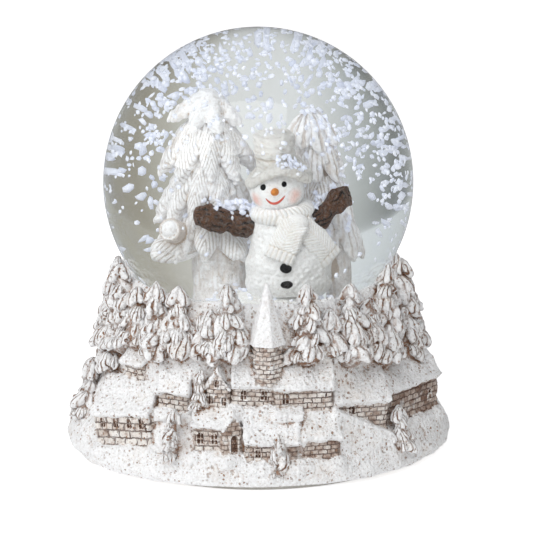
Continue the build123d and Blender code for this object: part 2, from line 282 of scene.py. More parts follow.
def mesh_piece(name, verts_mm, faces, body, mats, smooth=True, attrs=None, face_mats=None, nodes=()):
    me = bpy.data.meshes.new(name)
    v = np.asarray(verts_mm, np.float32) * 0.001
    faces = np.asarray(faces)
    me.vertices.add(len(v))
    me.vertices.foreach_set("co", v.ravel())
    k = faces.shape[1]
    me.loops.add(faces.size)
    me.loops.foreach_set("vertex_index", faces.astype(np.int32).ravel())
    me.polygons.add(len(faces))
    me.polygons.foreach_set("loop_start", np.arange(0, faces.size, k, dtype=np.int32))
    if smooth:
        me.polygons.foreach_set("use_smooth", np.ones(len(faces), bool))
    if face_mats is not None:
        me.polygons.foreach_set("material_index", np.asarray(face_mats, np.int32))
    me.update(calc_edges=True)
    me.validate()
    for key, arr in (attrs or {}).items():
        at = me.attributes.new(key, "FLOAT", "POINT")
        at.data.foreach_set("value", np.asarray(arr, np.float32))
    for m in mats if isinstance(mats, (list, tuple)) else [mats]:
        me.materials.append(m)
    ob = bpy.data.objects.new(name, me)
    bpy.context.scene.collection.objects.link(ob)
    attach(ob, body)
    if nodes:
        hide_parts(*nodes)
    return ob


def field_piece(name, F, body, mats, smooth_times=0, nodes=(), cav_mm=(0.8, 2.2)):
    v, q, p, k, c1, c2, num = nets(F, cav_mm)
    if smooth_times:
        v = soften(v, q, smooth_times, 0.4)
    tu, tv = surface_coords(F, v, num)
    log(name, len(v), "vertices", len(q), "quads")
    return mesh_piece(name, v, q, body, mats, True, {"paint": p, "kind": k, "cav": c1, "broad": c2, "tu": tu, "tv": tv}, nodes=nodes)


# ------------------------------------------------------------------ materials
def srgb(r, g, b):
    out = []
    for c in (r, g, b):
        c = c / 255
        out.append(c / 12.92 if c <= 0.04045 else ((c + 0.055) / 1.055) ** 2.4)
    return (*out, 1.0)


class Mat:
    """A small helper for node materials."""

    def __init__(self, name):
        self.m = bpy.data.materials.new(name)
        self.m.use_nodes = True
        self.t = self.m.node_tree
        self.t.nodes.clear()
        self.out = self.t.nodes.new("ShaderNodeOutputMaterial")

    def node(self, kind, **inputs):
        n = self.t.nodes.new(kind)
        for key, val in inputs.items():
            if key.startswith("_"):
                setattr(n, key[1:], val)
            else:
                self.put(n, key, val)
        return n

    def put(self, n, key, val):
        s = n.inputs[int(key[1:])] if key[0] == "i" and key[1:].isdigit() else n.inputs[key.replace("__", " ")]
        if isinstance(val, bpy.types.NodeSocket):
            self.t.links.new(val, s)
        else:
            s.default_value = val

    def attr(self, name):
        return self.node("ShaderNodeAttribute", _attribute_name=name).outputs["Fac"]

    def math(self, op, a, b=0.0, clamp=False):
        return self.node("ShaderNodeMath", _operation=op, _use_clamp=clamp, i0=a, i1=b).outputs[0]

    def ramp(self, fac, stops, mode="LINEAR"):
        n = self.node("ShaderNodeValToRGB")
        n.color_ramp.interpolation = mode
        while len(n.color_ramp.elements) < len(stops):
            n.color_ramp.elements.new(0.5)
        for e, (p, c) in zip(n.color_ramp.elements, stops):
            e.position = p
            e.color = c if isinstance(c, tuple) else (c, c, c, 1)
        self.put(n, "Fac", fac)
        return n.outputs["Color"]

    def span(self, val, a, b, c=0.0, d=1.0):
        return self.node("ShaderNodeMapRange", _clamp=True, Value=val, From__Min=a, From__Max=b, To__Min=c, To__Max=d).outputs["Result"]

    def mix(self, fac, a, b, mode="MIX"):
        n = self.node("ShaderNodeMix", _data_type="RGBA", _blend_type=mode)
        for i, val in ((0, fac), (6, a), (7, b)):
            if isinstance(val, bpy.types.NodeSocket):
                self.t.links.new(val, n.inputs[i])
            else:
                n.inputs[i].default_value = val
        return n.outputs[2]

    def coord(self):
        return self.node("ShaderNodeTexCoord").outputs["Object"]

    def noise(self, scale, detail=3.0, rough=0.55, vec=None, dist=0.0):
        n = self.node("ShaderNodeTexNoise", Scale=scale, Detail=detail, Roughness=rough, Distortion=dist)
        self.put(n, "Vector", vec if vec is not None else self.coord())
        return n.outputs["Fac"]

    def voronoi(self, scale, vec=None, feature="F1", rand=1.0):
        n = self.node("ShaderNodeTexVoronoi", _feature=feature, Scale=scale, Randomness=rand)
        self.put(n, "Vector", vec if vec is not None else self.coord())
        return n

    def bump(self, height, dist, strength=1.0, normal=None):
        n = self.node("ShaderNodeBump", Strength=strength, Distance=dist, Height=height)
        if normal is not None:
            self.put(n, "Normal", normal)
        return n.outputs["Normal"]

    def finish(self, shader):
        self.t.links.new(shader, self.out.inputs["Surface"])
        return self.m

    def principled(self, color, rough, normal=None, **more):
        n = self.node("ShaderNodeBsdfPrincipled")
        self.put(n, "Base Color", color)
        self.put(n, "Roughness", rough)
        if normal is not None:
            self.put(n, "Normal", normal)
        for key, val in more.items():
            self.put(n, key.replace("_", " "), val)
        return n.outputs["BSDF"]


WHITE = srgb(246, 247, 248)
OFFWHITE = srgb(240, 238, 233)
BROWN = srgb(158, 118, 88)
DARK = srgb(100, 66, 46)
TAN = srgb(212, 194, 172)


def washed(name, clean, wash, dark, gain=1.0, pits=1.0, groove=1.0, tan=0.25, rough=0.62, grain=1.0, broad=0.5, pit_scale=1000.0, brick=False, lines=0.6, painted_glow=0.0, cheeks=(), relief=0.0004, tree=0.35):
    """Painted resin: clean high spots, brown antique wash settled in crevices, pits and cut lines, with painted shade
    in the low spots of the fine grain and an optional painted glow.
    """
    m = Mat(name)
    paint, cav, wide = m.attr("paint"), m.attr("cav"), m.attr("broad")
    tu, tv, kind = m.attr("tu"), m.attr("tv"), m.attr("kind")
    n_big = m.noise(120.0, 4.0, 0.6)
    n_mid = m.noise(700.0, 4.0, 0.6)
    n_fine = m.noise(3200.0, 3.0, 0.6)
    n_blot = m.noise(330.0, 3.0, 0.6)
    c = m.math("ADD", cav, m.math("MULTIPLY", m.math("SUBTRACT", n_mid, 0.5), 0.22))
    crevice = m.span(c, 0.10 / gain, 0.42 / gain)
    wide_f = m.math("MULTIPLY", m.span(wide, 0.05, 0.5), broad)
    w = m.math("MAXIMUM", m.math("MULTIPLY", crevice, m.span(n_big, 0.3, 0.6, 0.45, 1.0)), wide_f)
    w = m.math("MAXIMUM", w, m.math("MULTIPLY", paint, groove), clamp=True)
    is_tree = m.span(m.math("ABSOLUTE", m.math("SUBTRACT", kind, 2.0)), 0.2, 0.5, 1.0, 0.0)
    tree_w = m.math("MULTIPLY", m.span(m.math("ADD", cav, m.math("MULTIPLY", m.math("SUBTRACT", n_mid, 0.5), 0.3)), 0.06, 0.30), m.math("MULTIPLY", is_tree, tree))
    w = m.math("MAXIMUM", w, tree_w, clamp=True)
    # soft tan stain where wash was wiped but not cleaned off
    stain = m.math("MULTIPLY", m.span(m.math("ADD", n_big, m.math("MULTIPLY", cav, 0.6)), 0.5, 0.75), tan)
    col = m.mix(stain, clean, TAN)
    col = m.mix(m.span(w, 0.0, 0.55), col, wash)
    col = m.mix(m.span(w, 0.5, 1.0), col, dark)
    # needle lines cut into the boughs
    ph = m.math("ADD", m.math("MULTIPLY", tu, 2 * math.pi), m.math("MULTIPLY", m.math("SUBTRACT", n_blot, 0.5), 7.0))
    cut = m.math("MULTIPLY", m.span(m.math("COSINE", ph), 0.66, 0.97), m.span(m.math("ADD", n_blot, m.math("MULTIPLY", n_big, 0.5)), 0.56, 0.80, 0.15, 1.0))
    cut = m.math("MULTIPLY", m.math("MULTIPLY", cut, is_tree), m.span(tv, 0.75, 1.1, 1.0, 0.2))
    col = m.mix(m.math("MULTIPLY", cut, lines), col, m.mix(m.span(n_mid, 0.3, 0.7), wash, dark))
    joint = None
    if brick:
        isb = m.span(m.math("ABSOLUTE", m.math("SUBTRACT", kind, 1.0)), 0.2, 0.5, 1.0, 0.0)
        wob = m.node("ShaderNodeTexNoise", Scale=950.0, Detail=3.0)
        m.put(wob, "Vector", m.coord())
        off = m.node("ShaderNodeSeparateColor", Color=wob.outputs["Color"])
        bu = m.math("ADD", tu, m.math("MULTIPLY", m.math("SUBTRACT", off.outputs[0], 0.5), 0.62))
        bv = m.math("ADD", tv, m.math("MULTIPLY", m.math("SUBTRACT", off.outputs[1], 0.5), 0.52))
        vec = m.node("ShaderNodeCombineXYZ", X=bu, Y=bv, Z=0.0)
        bt = m.node("ShaderNodeTexBrick", Vector=vec.outputs[0], Scale=1.0, Mortar__Size=0.125, Mortar__Smooth=0.5, Bias=0.0, Brick__Width=1.8, Row__Height=1.0)
        bt.inputs["Color1"].default_value = (0, 0, 0, 1)
        bt.inputs["Color2"].default_value = (1, 1, 1, 1)
        bt.inputs["Mortar"].default_value = (0.5, 0.5, 0.5, 1)
        joint = m.math("MULTIPLY", bt.outputs["Fac"], isb)
        tone = m.math("ADD", paint, m.math("MULTIPLY", m.math("SUBTRACT", n_mid, 0.5), 0.75))
        tone = m.math("ADD", tone, m.math("MULTIPLY", m.math("SUBTRACT", n_blot, 0.5), 0.5))
        each = m.node("ShaderNodeSeparateColor", Color=bt.outputs["Color"])
        tone = m.math("ADD", tone, m.math("MULTIPLY", m.math("SUBTRACT", each.outputs[0], 0.55), 0.42))
        tone = m.math("ADD", tone, m.math("MULTIPLY", m.span(cav, 0.06, 0.5), 0.45), clamp=True)
        bcol = m.ramp(tone, [(0.0, srgb(240, 236, 231)), (0.3, srgb(222, 212, 204)), (0.52, srgb(188, 170, 158)), (0.76, srgb(132, 104, 88)), (1.0, srgb(84, 60, 48))])
        bcol = m.mix(m.math("MULTIPLY", joint, m.span(n_blot, 0.3, 0.62, 1.0, 0.45)), bcol, srgb(78, 52, 40))
        scuff = m.span(m.math("SUBTRACT", m.noise(260.0, 4.0), m.math("MULTIPLY", cav, 0.5)), 0.58, 0.72, 0.0, 0.6)
        bcol = m.mix(scuff, bcol, clean)
        col = m.mix(isb, col, bcol)
    # pits: small holes that keep the wash
    warp = m.node("ShaderNodeVectorMath", _operation="ADD")
    m.t.links.new(m.coord(), warp.inputs[0])
    scl = m.node("ShaderNodeVectorMath", _operation="SCALE", Scale=0.0008)
    nz = m.node("ShaderNodeTexNoise", Scale=900.0)
    m.put(nz, "Vector", m.coord())
    m.t.links.new(nz.outputs["Color"], scl.inputs[0])
    m.t.links.new(scl.outputs[0], warp.inputs[1])
    v = m.voronoi(pit_scale, warp.outputs[0])
    sep = m.node("ShaderNodeSeparateColor", Color=v.outputs["Color"])
    size = m.span(sep.outputs[0], 0.15, 1.0, 0.06, 0.38)
    hole = m.math("SUBTRACT", size, v.outputs["Distance"])
    hole = m.span(hole, 0.0, 0.06)
    open_ = m.span(m.noise(110.0, 2.0), 0.34, 0.56, 0.55, 1.0)
    open_ = m.math("MULTIPLY", open_, m.span(m.math("ABSOLUTE", m.math("SUBTRACT", kind, 3.0)), 0.2, 0.5, 0.2, 1.0))
    hole = m.math("MULTIPLY", m.math("MULTIPLY", hole, open_), pits, clamp=True)
    col = m.mix(m.math("MULTIPLY", hole, m.span(sep.outputs[1], 0.0, 1.0, 0.4, 1.0)), col, m.mix(sep.outputs[2], wash, BROWN))
    v2 = m.voronoi(1750.0, warp.outputs[0])
    sep2 = m.node("ShaderNodeSeparateColor", Color=v2.outputs["Color"])
    speck = m.math("MULTIPLY", m.span(m.math("SUBTRACT", m.span(sep2.outputs[0], 0.35, 1.0, -0.05, 0.34), v2.outputs["Distance"]), 0.0, 0.1), m.math("MULTIPLY", m.span(m.math("ABSOLUTE", m.math("SUBTRACT", kind, 3.0)), 0.2, 0.5, 0.2, 1.0), pits), clamp=True)
    col = m.mix(m.math("MULTIPLY", speck, m.span(sep2.outputs[1], 0.0, 1.0, 0.1, 0.7)), col, m.mix(sep2.outputs[2], TAN, wash))
    # Painted shade: where the fine pebble bump dips, the colour is darkened towards a grey wash, like shade in the low
    # spots; grain sets both this shade and the bump.
    pebble = m.noise(1500.0, 2.0, 0.55)
    low = m.math("MULTIPLY", m.span(pebble, 0.34, 0.50, 1.0, 0.0), 0.22 * grain)
    col = m.mix(low, col, m.mix(0.6, wash, (0.42, 0.42, 0.42, 1.0)))
    for cx, cy, cz, cr in cheeks:
        dist = m.node("ShaderNodeVectorMath", _operation="DISTANCE")
        m.t.links.new(m.coord(), dist.inputs[0])
        dist.inputs[1].default_value = (cx * 0.001, cy * 0.001, cz * 0.001)
        col = m.mix(m.math("MULTIPLY", m.span(dist.outputs["Value"], 0.0004, cr * 0.001, 0.62, 0.0), m.span(n_mid, 0.3, 0.6, 0.6, 1.0)), col, srgb(242, 166, 140))
    h = m.math("ADD", m.math("MULTIPLY", n_fine, 0.3 * grain), m.math("MULTIPLY", pebble, 0.8 * grain))
    h = m.math("SUBTRACT", h, m.math("MULTIPLY", hole, 0.9))
    h = m.math("SUBTRACT", h, m.math("MULTIPLY", speck, 0.45))
    h = m.math("SUBTRACT", h, m.math("MULTIPLY", cut, 0.7))
    if joint is not None:
        h = m.math("SUBTRACT", h, m.math("MULTIPLY", joint, 1.5))
    nrm = m.bump(h, relief, 0.9)
    r = m.span(w, 0.0, 1.0, rough, 0.8)
    more = {"Specular_IOR_Level": 0.35}
    # Painted light: the paint gives off a little of its own colour, a glow that brightens the inside figures though
    # they are no lamps.
    if painted_glow:
        more.update(Emission_Color=col, Emission_Strength=painted_glow)
    return m.finish(m.principled(col, r, nrm, **more))


def simple_paint(name, color, rough=0.45, vary=0.12, bump=0.00006, scale=1800.0, spec=0.4, coat=0.0):
    """Brushed hand paint: slight tone variation, brush grain and a little sheen."""
    m = Mat(name)
    n1 = m.noise(500.0, 4.0)
    n2 = m.noise(scale, 4.0)
    dark = tuple(c * (1 - vary * 2.2) for c in color[:3]) + (1.0,)
    col = m.mix(m.span(n1, 0.3, 0.75), color, dark)
    nrm = m.bump(n2, bump, 0.7)
    return m.finish(m.principled(col, rough, nrm, Specular_IOR_Level=spec, Coat_Weight=coat, Coat_Roughness=0.25))


def glass_mat(name, ior, tint):
    """Clear glass or liquid boundary. Light for shading passes straight through, so the scene inside is lit."""
    m = Mat(name)
    g = m.node("ShaderNodeBsdfGlass", Color=tint, Roughness=0.0, IOR=ior)
    tr = m.node("ShaderNodeBsdfTransparent", Color=(0.995, 0.995, 0.995, 1.0))
    lp = m.node("ShaderNodeLightPath")
    f = m.math("MAXIMUM", lp.outputs["Is Shadow Ray"], lp.outputs["Is Diffuse Ray"])
    mx = m.node("ShaderNodeMixShader")
    m.t.links.new(f, mx.inputs[0])
    m.t.links.new(g.outputs[0], mx.inputs[1])
    m.t.links.new(tr.outputs[0], mx.inputs[2])
    return m.finish(mx.outputs[0])


M_CAST = washed("cast_resin_paint", WHITE, BROWN, DARK, gain=1.05, broad=0.22, pits=1.0, groove=1.0, tan=0.30, brick=True, lines=1.0, tree=0.50, relief=0.0007)
# The inside figure's paints carry a small painted glow, emission that stands in for light bounced round inside the
# globe.
M_FIR = washed("inner_fir_paint", srgb(249, 250, 252), srgb(190, 168, 146), srgb(132, 108, 88), gain=1.15, pits=0.12, tan=0.34, pit_scale=700.0, broad=0.3, lines=0.28, grain=1.2, painted_glow=0.06, relief=0.0003, tree=0.42)
M_SNOW = washed("inner_snow_paint", srgb(244, 245, 244), srgb(196, 182, 164), srgb(150, 132, 112), gain=0.6, pits=0.2, tan=0.15, grain=1.2, broad=0.15, painted_glow=0.05)
M_BODY = washed("snowman_body_paint", srgb(246, 247, 248), srgb(214, 203, 188), srgb(160, 140, 118), gain=0.6, pits=0.25, tan=0.06, grain=1.2, broad=0.15, pit_scale=800.0, painted_glow=0.05, relief=0.0002,
                cheeks=((-0.6, -7.6, 67.0, 2.0), (7.4, -8.0, 68.0, 2.1)))
M_HAT = washed("snowman_hat_paint", srgb(222, 221, 218), srgb(180, 168, 154), srgb(128, 112, 96), gain=1.1, pits=0.1, tan=0.28, grain=1.2, broad=0.25, painted_glow=0.02, relief=0.0003)
M_SCARF = washed("snowman_scarf_paint", srgb(246, 247, 248), srgb(212, 202, 188), srgb(160, 140, 120), gain=0.9, pits=0.1, tan=0.25, grain=1.0, broad=0.3, painted_glow=0.04, relief=0.0002)
M_BARK = washed("twig_bark_paint", srgb(104, 70, 47), srgb(44, 27, 18), srgb(18, 10, 6), gain=2.2, pits=0.5, tan=0.04, grain=1.8, rough=0.42, broad=0.7, relief=0.0012)

# ------------------------------------------------------------------ village base, outline as the CAD
FELT_T, RIM_R, GLOBE_Z, GLOBE_R = 1.2, 32.4, 69.0, 40.0
FOOT = [(-180, 46.5), (-150, 48.0), (-125, 49.5), (-105, 49.8), (-75, 50.2), (-54, 50.6), (-30, 47.2), (-10, 45.0), (5, 44.9), (22, 45.5), (42, 47.0),
        (62, 48.6), (88, 50.6), (105, 50.0), (125, 49.3), (150, 48.0), (180, 46.5)]
PROFILE = [(-1.0, 0.94), (FELT_T, 0.965), (3.0, 1.0), (5.5, 0.965), (9.0, 0.87), (15.0, 0.64), (22.0, 0.48), (30.0, 0.37), (37.0, 0.28), (42.0, 0.18), (45.0, 0.08),
           (46.6, -0.03), (50.0, -0.3)]
FB, FRr = np.array([a for a, _ in FOOT], float), np.array([r for _, r in FOOT], float)
PZ, PS = np.array([a for a, _ in PROFILE], float), np.array([s for _, s in PROFILE], float)


def foot_r(bearing):
    tot = 0
    for k in range(-4, 5):
        tot = tot + np.interp((bearing + k * 3 + 180) % 360 - 180, FB, FRr)
    return tot / 9


def core_r(bearing, z):
    return RIM_R + (foot_r(bearing) - RIM_R) * np.interp(z, PZ, PS)


H = 0.26
F = Field((-52.5, -48.4, -0.2), (52.5, 49.0, 53.4), H)
rho = np.sqrt(F.ax[0][:, None] ** 2 + F.ax[1][None, :] ** 2)
bear = np.degrees(np.arctan2(F.ax[0][:, None], -F.ax[1][None, :]))
ft = foot_r(bear).astype(f4)
sh = np.interp(F.ax[2], PZ, PS).astype(f4)
sl = np.gradient(sh, F.ax[2]).astype(f4)
F.D = (rho[:, :, None] - RIM_R - (ft - RIM_R)[:, :, None] * sh[None, None, :]) / np.sqrt(1 + ((ft - RIM_R)[:, :, None] * sl[None, None, :]) ** 2)
F.D = np.clip(F.D, -6, 6).astype(f4)
roughen(F, 0.32, 9.0, 3, band=2.0)
roughen(F, 0.14, 3.2, 4, band=1.6)
log("core")


def local(x, y, z, yaw, roll=0.0):
    """Frame of a wall: u along it to the right, v outwards, w up it. Roll lifts its right end."""
    a, b = math.radians(yaw), math.radians(roll)
    nx, ny, tx, ty = math.sin(a), -math.cos(a), math.cos(a), math.sin(a)
    cb, sb = math.cos(b), math.sin(b)

    def f(X, Y, Z):
        u, w = (X - x) * tx + (Y - y) * ty, Z - z
        return u * cb + w * sb, (X - x) * nx + (Y - y) * ny, w * cb - u * sb

    def back(u, v, w):
        uu, ww = u * cb - w * sb, u * sb + w * cb
        return x + nx * v + tx * uu, y + ny * v + ty * uu, z + ww
    return f, back


def bbox(points, pad):
    p = np.array(points)
    return p.min(0) - pad, p.max(0) + pad


def joints_pattern(a, w, course, length, seed=0):
    """0 on a brick's face to 1 in a joint. Even rows are shifted by half a brick."""
    row = np.floor(w / course + 0.5)
    jh = np.abs(w - row * course)
    b = a + (np.mod(np.floor(w / course), 2) == 0) * 0.5 * length
    jv = np.abs(b - np.round(b / length) * length)
    d = np.minimum(jh, jv)
    return np.clip(1 - (d / 0.26) ** 2, 0, 1)


def carve(x, y, z, yaw, W, h, roll=0.0):
    f, back = local(x, y, z, yaw, roll)
    pts = [back(u, v, w) for u in (-W / 2 - 3, W / 2 + 3) for v in (-1, 9) for w in (-1.5, h + 6)]
    lo, hi = bbox(pts, 1.0)

    def g(X, Y, Z):
        u, v, w = f(X, Y, Z)
        d = np.maximum(np.abs(u) - W / 2 - 0.5 - 0.25 * np.maximum(v, 0), np.maximum(-v - 0.6, -(w + 0.15 + 0.25 * v)))
        d = np.maximum(d, w - h - 2.0 - 0.3 * v)
        return d, None
    F.cut(lo, hi, g, k=1.1)


def arch2(u, w, ww, hh):
    top = hh - ww / 2
    r = np.sqrt(u ** 2 + np.maximum(w - top, 0) ** 2)
    side = np.where(w > top, r - ww / 2, np.abs(u) - ww / 2)
    return np.maximum(side, -w)


def house(x, y, z, yaw, W, h, run, rise, brick=(1.75, 3.1), wins=(), door=None, gable=False, tone=0.27, over=0.6, thick=1.15, depth=None, seed=0, lump=0.22, roll=0.0):
    depth = depth or run + 2.0
    f, back = local(x, y, z, yaw, roll)
    pts = [back(u, v, w) for u in (-W / 2, W / 2) for v in (1.5, -depth) for w in (-2.5, h + rise + 2.5)]
    lo, hi = bbox(pts, 1.6)

    def walls(X, Y, Z):
        u, v, w = f(X, Y, Z)
        if gable:
            L = math.hypot(rise, W / 2)
            roof = ((w - h - rise) * (W / 2) + np.abs(u) * rise) / L
        else:
            L = math.hypot(rise, run)
            roof = ((w - h) * run + v * rise) / L
        side = np.abs(u) - W / 2
        d = np.maximum(np.maximum(side, v), np.maximum(roof, np.maximum(-v - depth, -w - 2.5)))
        onfront = v > side
        along = np.where(onfront, u, v)
        j = joints_pattern(along + seed, w, brick[0], brick[0] * 1.8, seed)
        face = 0.10 * waves(u, v, w, 2.2, seed + 50, 3)
        worn = waves(X, Y, Z, 3.4, seed + 60, 4)
        corner = np.clip(1.2 - np.abs(v - side) * 1.1, 0, 1)
        d = d + 0.10 * worn + 0.22 * corner
        p = np.clip(tone + 0.10 * waves(u + 0 * v, w * 1.0 + 0 * v, v, 2.6, seed + 9, 3), 0.05, 0.7)
        d = d + 0.15 * j * np.clip(0.85 + 0.35 * worn, 0.3, 1) - 0.7 * face
        for k, (u0, w0, ww, hh) in enumerate(wins):
            a = arch2(u - u0 + 0 * v, w - w0, ww, hh) + 0 * v
            on = onfront & (v > -1.2)
            bar = (np.abs(u - u0) < 0.14) | (np.abs(w - w0 - hh * 0.45) < 0.12)
            d = np.where(on & (a < 0), d + np.where(bar, 0.10, 0.42) - 0.13 * j, d)
            p = np.where(on & (a < 0), np.where(bar, 0.30, 0.82), p)
            ring = on & (a >= 0) & (a < 0.34)
            d = np.where(ring, d - 0.16 - 0.13 * j, d)
            p = np.where(ring, 0.16, p)
            p = np.where(on & (a >= 0.34) & (a < 0.5), 0.62, p)
        if door:
            u0, ww, hh = door
            a = arch2(u - u0 + 0 * v, w, ww, hh) + 0 * v
            on = onfront & (v > -1.5)
            d = np.where(on & (a < 0), d + 0.55 - 0.13 * j, d)
            p = np.where(on & (a < 0), np.where((np.abs(np.mod(u - u0 + 0.2, 0.55) - 0.27) < 0.09), 1.0, 0.75), p)
            ring = on & (a >= 0) & (a < 0.45)
            d = np.where(ring, d - 0.16 - 0.13 * j, d)
            p = np.where(ring, 0.25, p)
        return d, p

    def course_uv(X, Y, Z):
        u, v, w = f(X, Y, Z)
        return (np.where(v > np.abs(u) - W / 2, u, v) + seed) / brick[0], v, w / brick[0]
    F.add(lo, hi, walls, k=0.0, kind=1, tag=("wall", course_uv))

    def slab(X, Y, Z):
        u, v, w = f(X, Y, Z)
        if gable:
            L = math.hypot(rise, W / 2)
            cu, cw = (W / 2) / L, rise / L
            au = np.abs(u)
            s = (au) * cu - (w - h - rise) * cw * 1.0
            s = au * cu + (h + rise - w) * cw
            tt = au * cw + (w - h - rise) * cu
            ends = np.maximum(v - over, -v - depth - 0.4)
            length = L + over
            q1, q2, q3 = np.maximum(s - length, -s - 1.0) + 0.45, np.maximum(tt - thick, -tt - 0.25) + 0.45, ends + 0.45
        else:
            L = math.hypot(rise, run)
            cv, cw = run / L, rise / L
            s = -(v) * cv + (w - h) * cw
            tt = v * cw + (w - h) * cv
            q1, q2, q3 = np.maximum(s - L - 0.6, -s - over) + 0.45, np.maximum(tt - thick, -tt - 0.25) + 0.45, np.abs(u) - W / 2 - over * 0.6 + 0.45
        m1, m2, m3 = np.maximum(q1, 0), np.maximum(q2, 0), np.maximum(q3, 0)
        d = np.sqrt(m1 ** 2 + m2 ** 2 + m3 ** 2) + np.minimum(np.maximum(q1, np.maximum(q2, q3)), 0) - 0.45
        d = d - lump * waves(X, Y, Z, 5.0, seed + 77, 4) - 0.06 * waves(X, Y, Z, 1.8, seed + 5, 4)
        return d, 0.0 * d
    F.add(lo, hi, slab, k=0.35, kind=0)


def bank(x, y, z, yaw, W, seed=0, lift=0.0, r0=1.5, roll=0.0):
    """Drifted snow along the foot of a wall, uneven along its length."""
    f, back = local(x, y, z, yaw, roll)
    pts = [back(u, v, w) for u in (-W / 2 - 1, W / 2 + 1) for v in (-1, 3) for w in (-4, 2.5)]
    lo, hi = bbox(pts, 1.2)

    def g(X, Y, Z):
        u, v, w = f(X, Y, Z)
        t_ = np.clip(u, -W / 2 + 0.3, W / 2 - 0.3)
        rr = r0 + 0.30 * np.sin(u * 0.7 + seed) + 0.10 * np.sin(u * 1.9 + seed * 3) + 0.5 * np.clip(np.abs(u) * 2 / W - 0.75, 0, 1)
        ww = w + r0 + 0.15 - lift
        d = np.sqrt((u - t_) ** 2 + (v - 0.2) ** 2 + (np.maximum(ww, 0) + 0.8 * np.minimum(ww, 0)) ** 2) - rr
        return d - 0.15 * waves(X, Y, Z, 2.4, seed + 4, 3), 0 * d
    F.add(lo, hi, g, k=1.3, kind=0)


def pt(b, r, z):
    a = math.radians(b)
    return np.array([r * math.sin(a), -r * math.cos(a), z])


def bough(FF, c, l, n, al, aw, an, kind=2, k=0.22, freq=5.0, depth=0.22, tip=0.35, seed=0, paint=0.9, lumpy=0.0, feather=False):
    """A drooping snow-laden bough: a teardrop with needle lines, fanning from its root or feathered from its midrib."""
    l = np.array(l) / np.linalg.norm(l)
    n = np.array(n, float)
    n = n - l * n.dot(l)
    n = n / np.linalg.norm(n)
    w = np.cross(n, l)
    ext = np.sqrt((l * al) ** 2 + (w * aw * 1.25) ** 2 + (n * an) ** 2) + 0.7
    c = np.array(c, float)

    def g(X, Y, Z):
        x, y, z = X - f4(c[0]), Y - f4(c[1]), Z - f4(c[2])
        pl = x * l[0] + y * l[1] + z * l[2]
        pw = x * w[0] + y * w[1] + z * w[2]
        pn = x * n[0] + y * n[1] + z * n[2]
        we = aw * np.clip(0.82 + tip * pl / al, 0.25, 1.3)
        q = np.sqrt((pl / al) ** 2 + (pw / we) ** 2 + (pn / an) ** 2)
        d = (q - 1) * an
        if feather:
            s = np.cos((np.abs(pw) - 0.34 * pl) * freq * 2 * math.pi)
        else:
            s = np.cos(np.arctan2(pw, pl + 1.75 * al) * freq * 2 * math.pi / 1.15 + seed)
        gr = np.clip(s * 1.5 - 0.35, 0, 1) * np.clip((pn / an + 0.45) * 2, 0, 1) * np.clip((1.25 - pl / al) * 1.6, 0, 1)
        d = d + depth * gr
        if lumpy:
            d = d - lumpy * waves(X, Y, Z, 1.6, seed + 1, 3)
        return d, paint * gr * np.clip(1.2 - 0.6 * np.abs(s), 0, 1)
    FF.add(c - ext, c + ext, g, k=k, kind=kind, tag=("bough", [*c, *l, *w, al, freq, 0.0 if feather else seed, 1.0 if feather else 0.0]))


def cone(FF, a, b, ra, rb, kind=2, k=0.3, p0=0.2):
    a, b = np.array(a, float), np.array(b, float)
    L = np.linalg.norm(b - a)
    u = (b - a) / L
    R = max(ra, rb) + 1.0
    lo, hi = bbox([a - R, a + R, b - R, b + R], 0)

    def g(X, Y, Z):
        x, y, z = X - f4(a[0]), Y - f4(a[1]), Z - f4(a[2])
        t_ = np.clip(x * u[0] + y * u[1] + z * u[2], 0, L)
        d = np.sqrt((x - t_ * u[0]) ** 2 + (y - t_ * u[1]) ** 2 + (z - t_ * u[2]) ** 2) - (ra + (rb - ra) * t_ / L)
        return d, p0 + 0 * d
    FF.add(lo, hi, g, k=k, kind=kind)


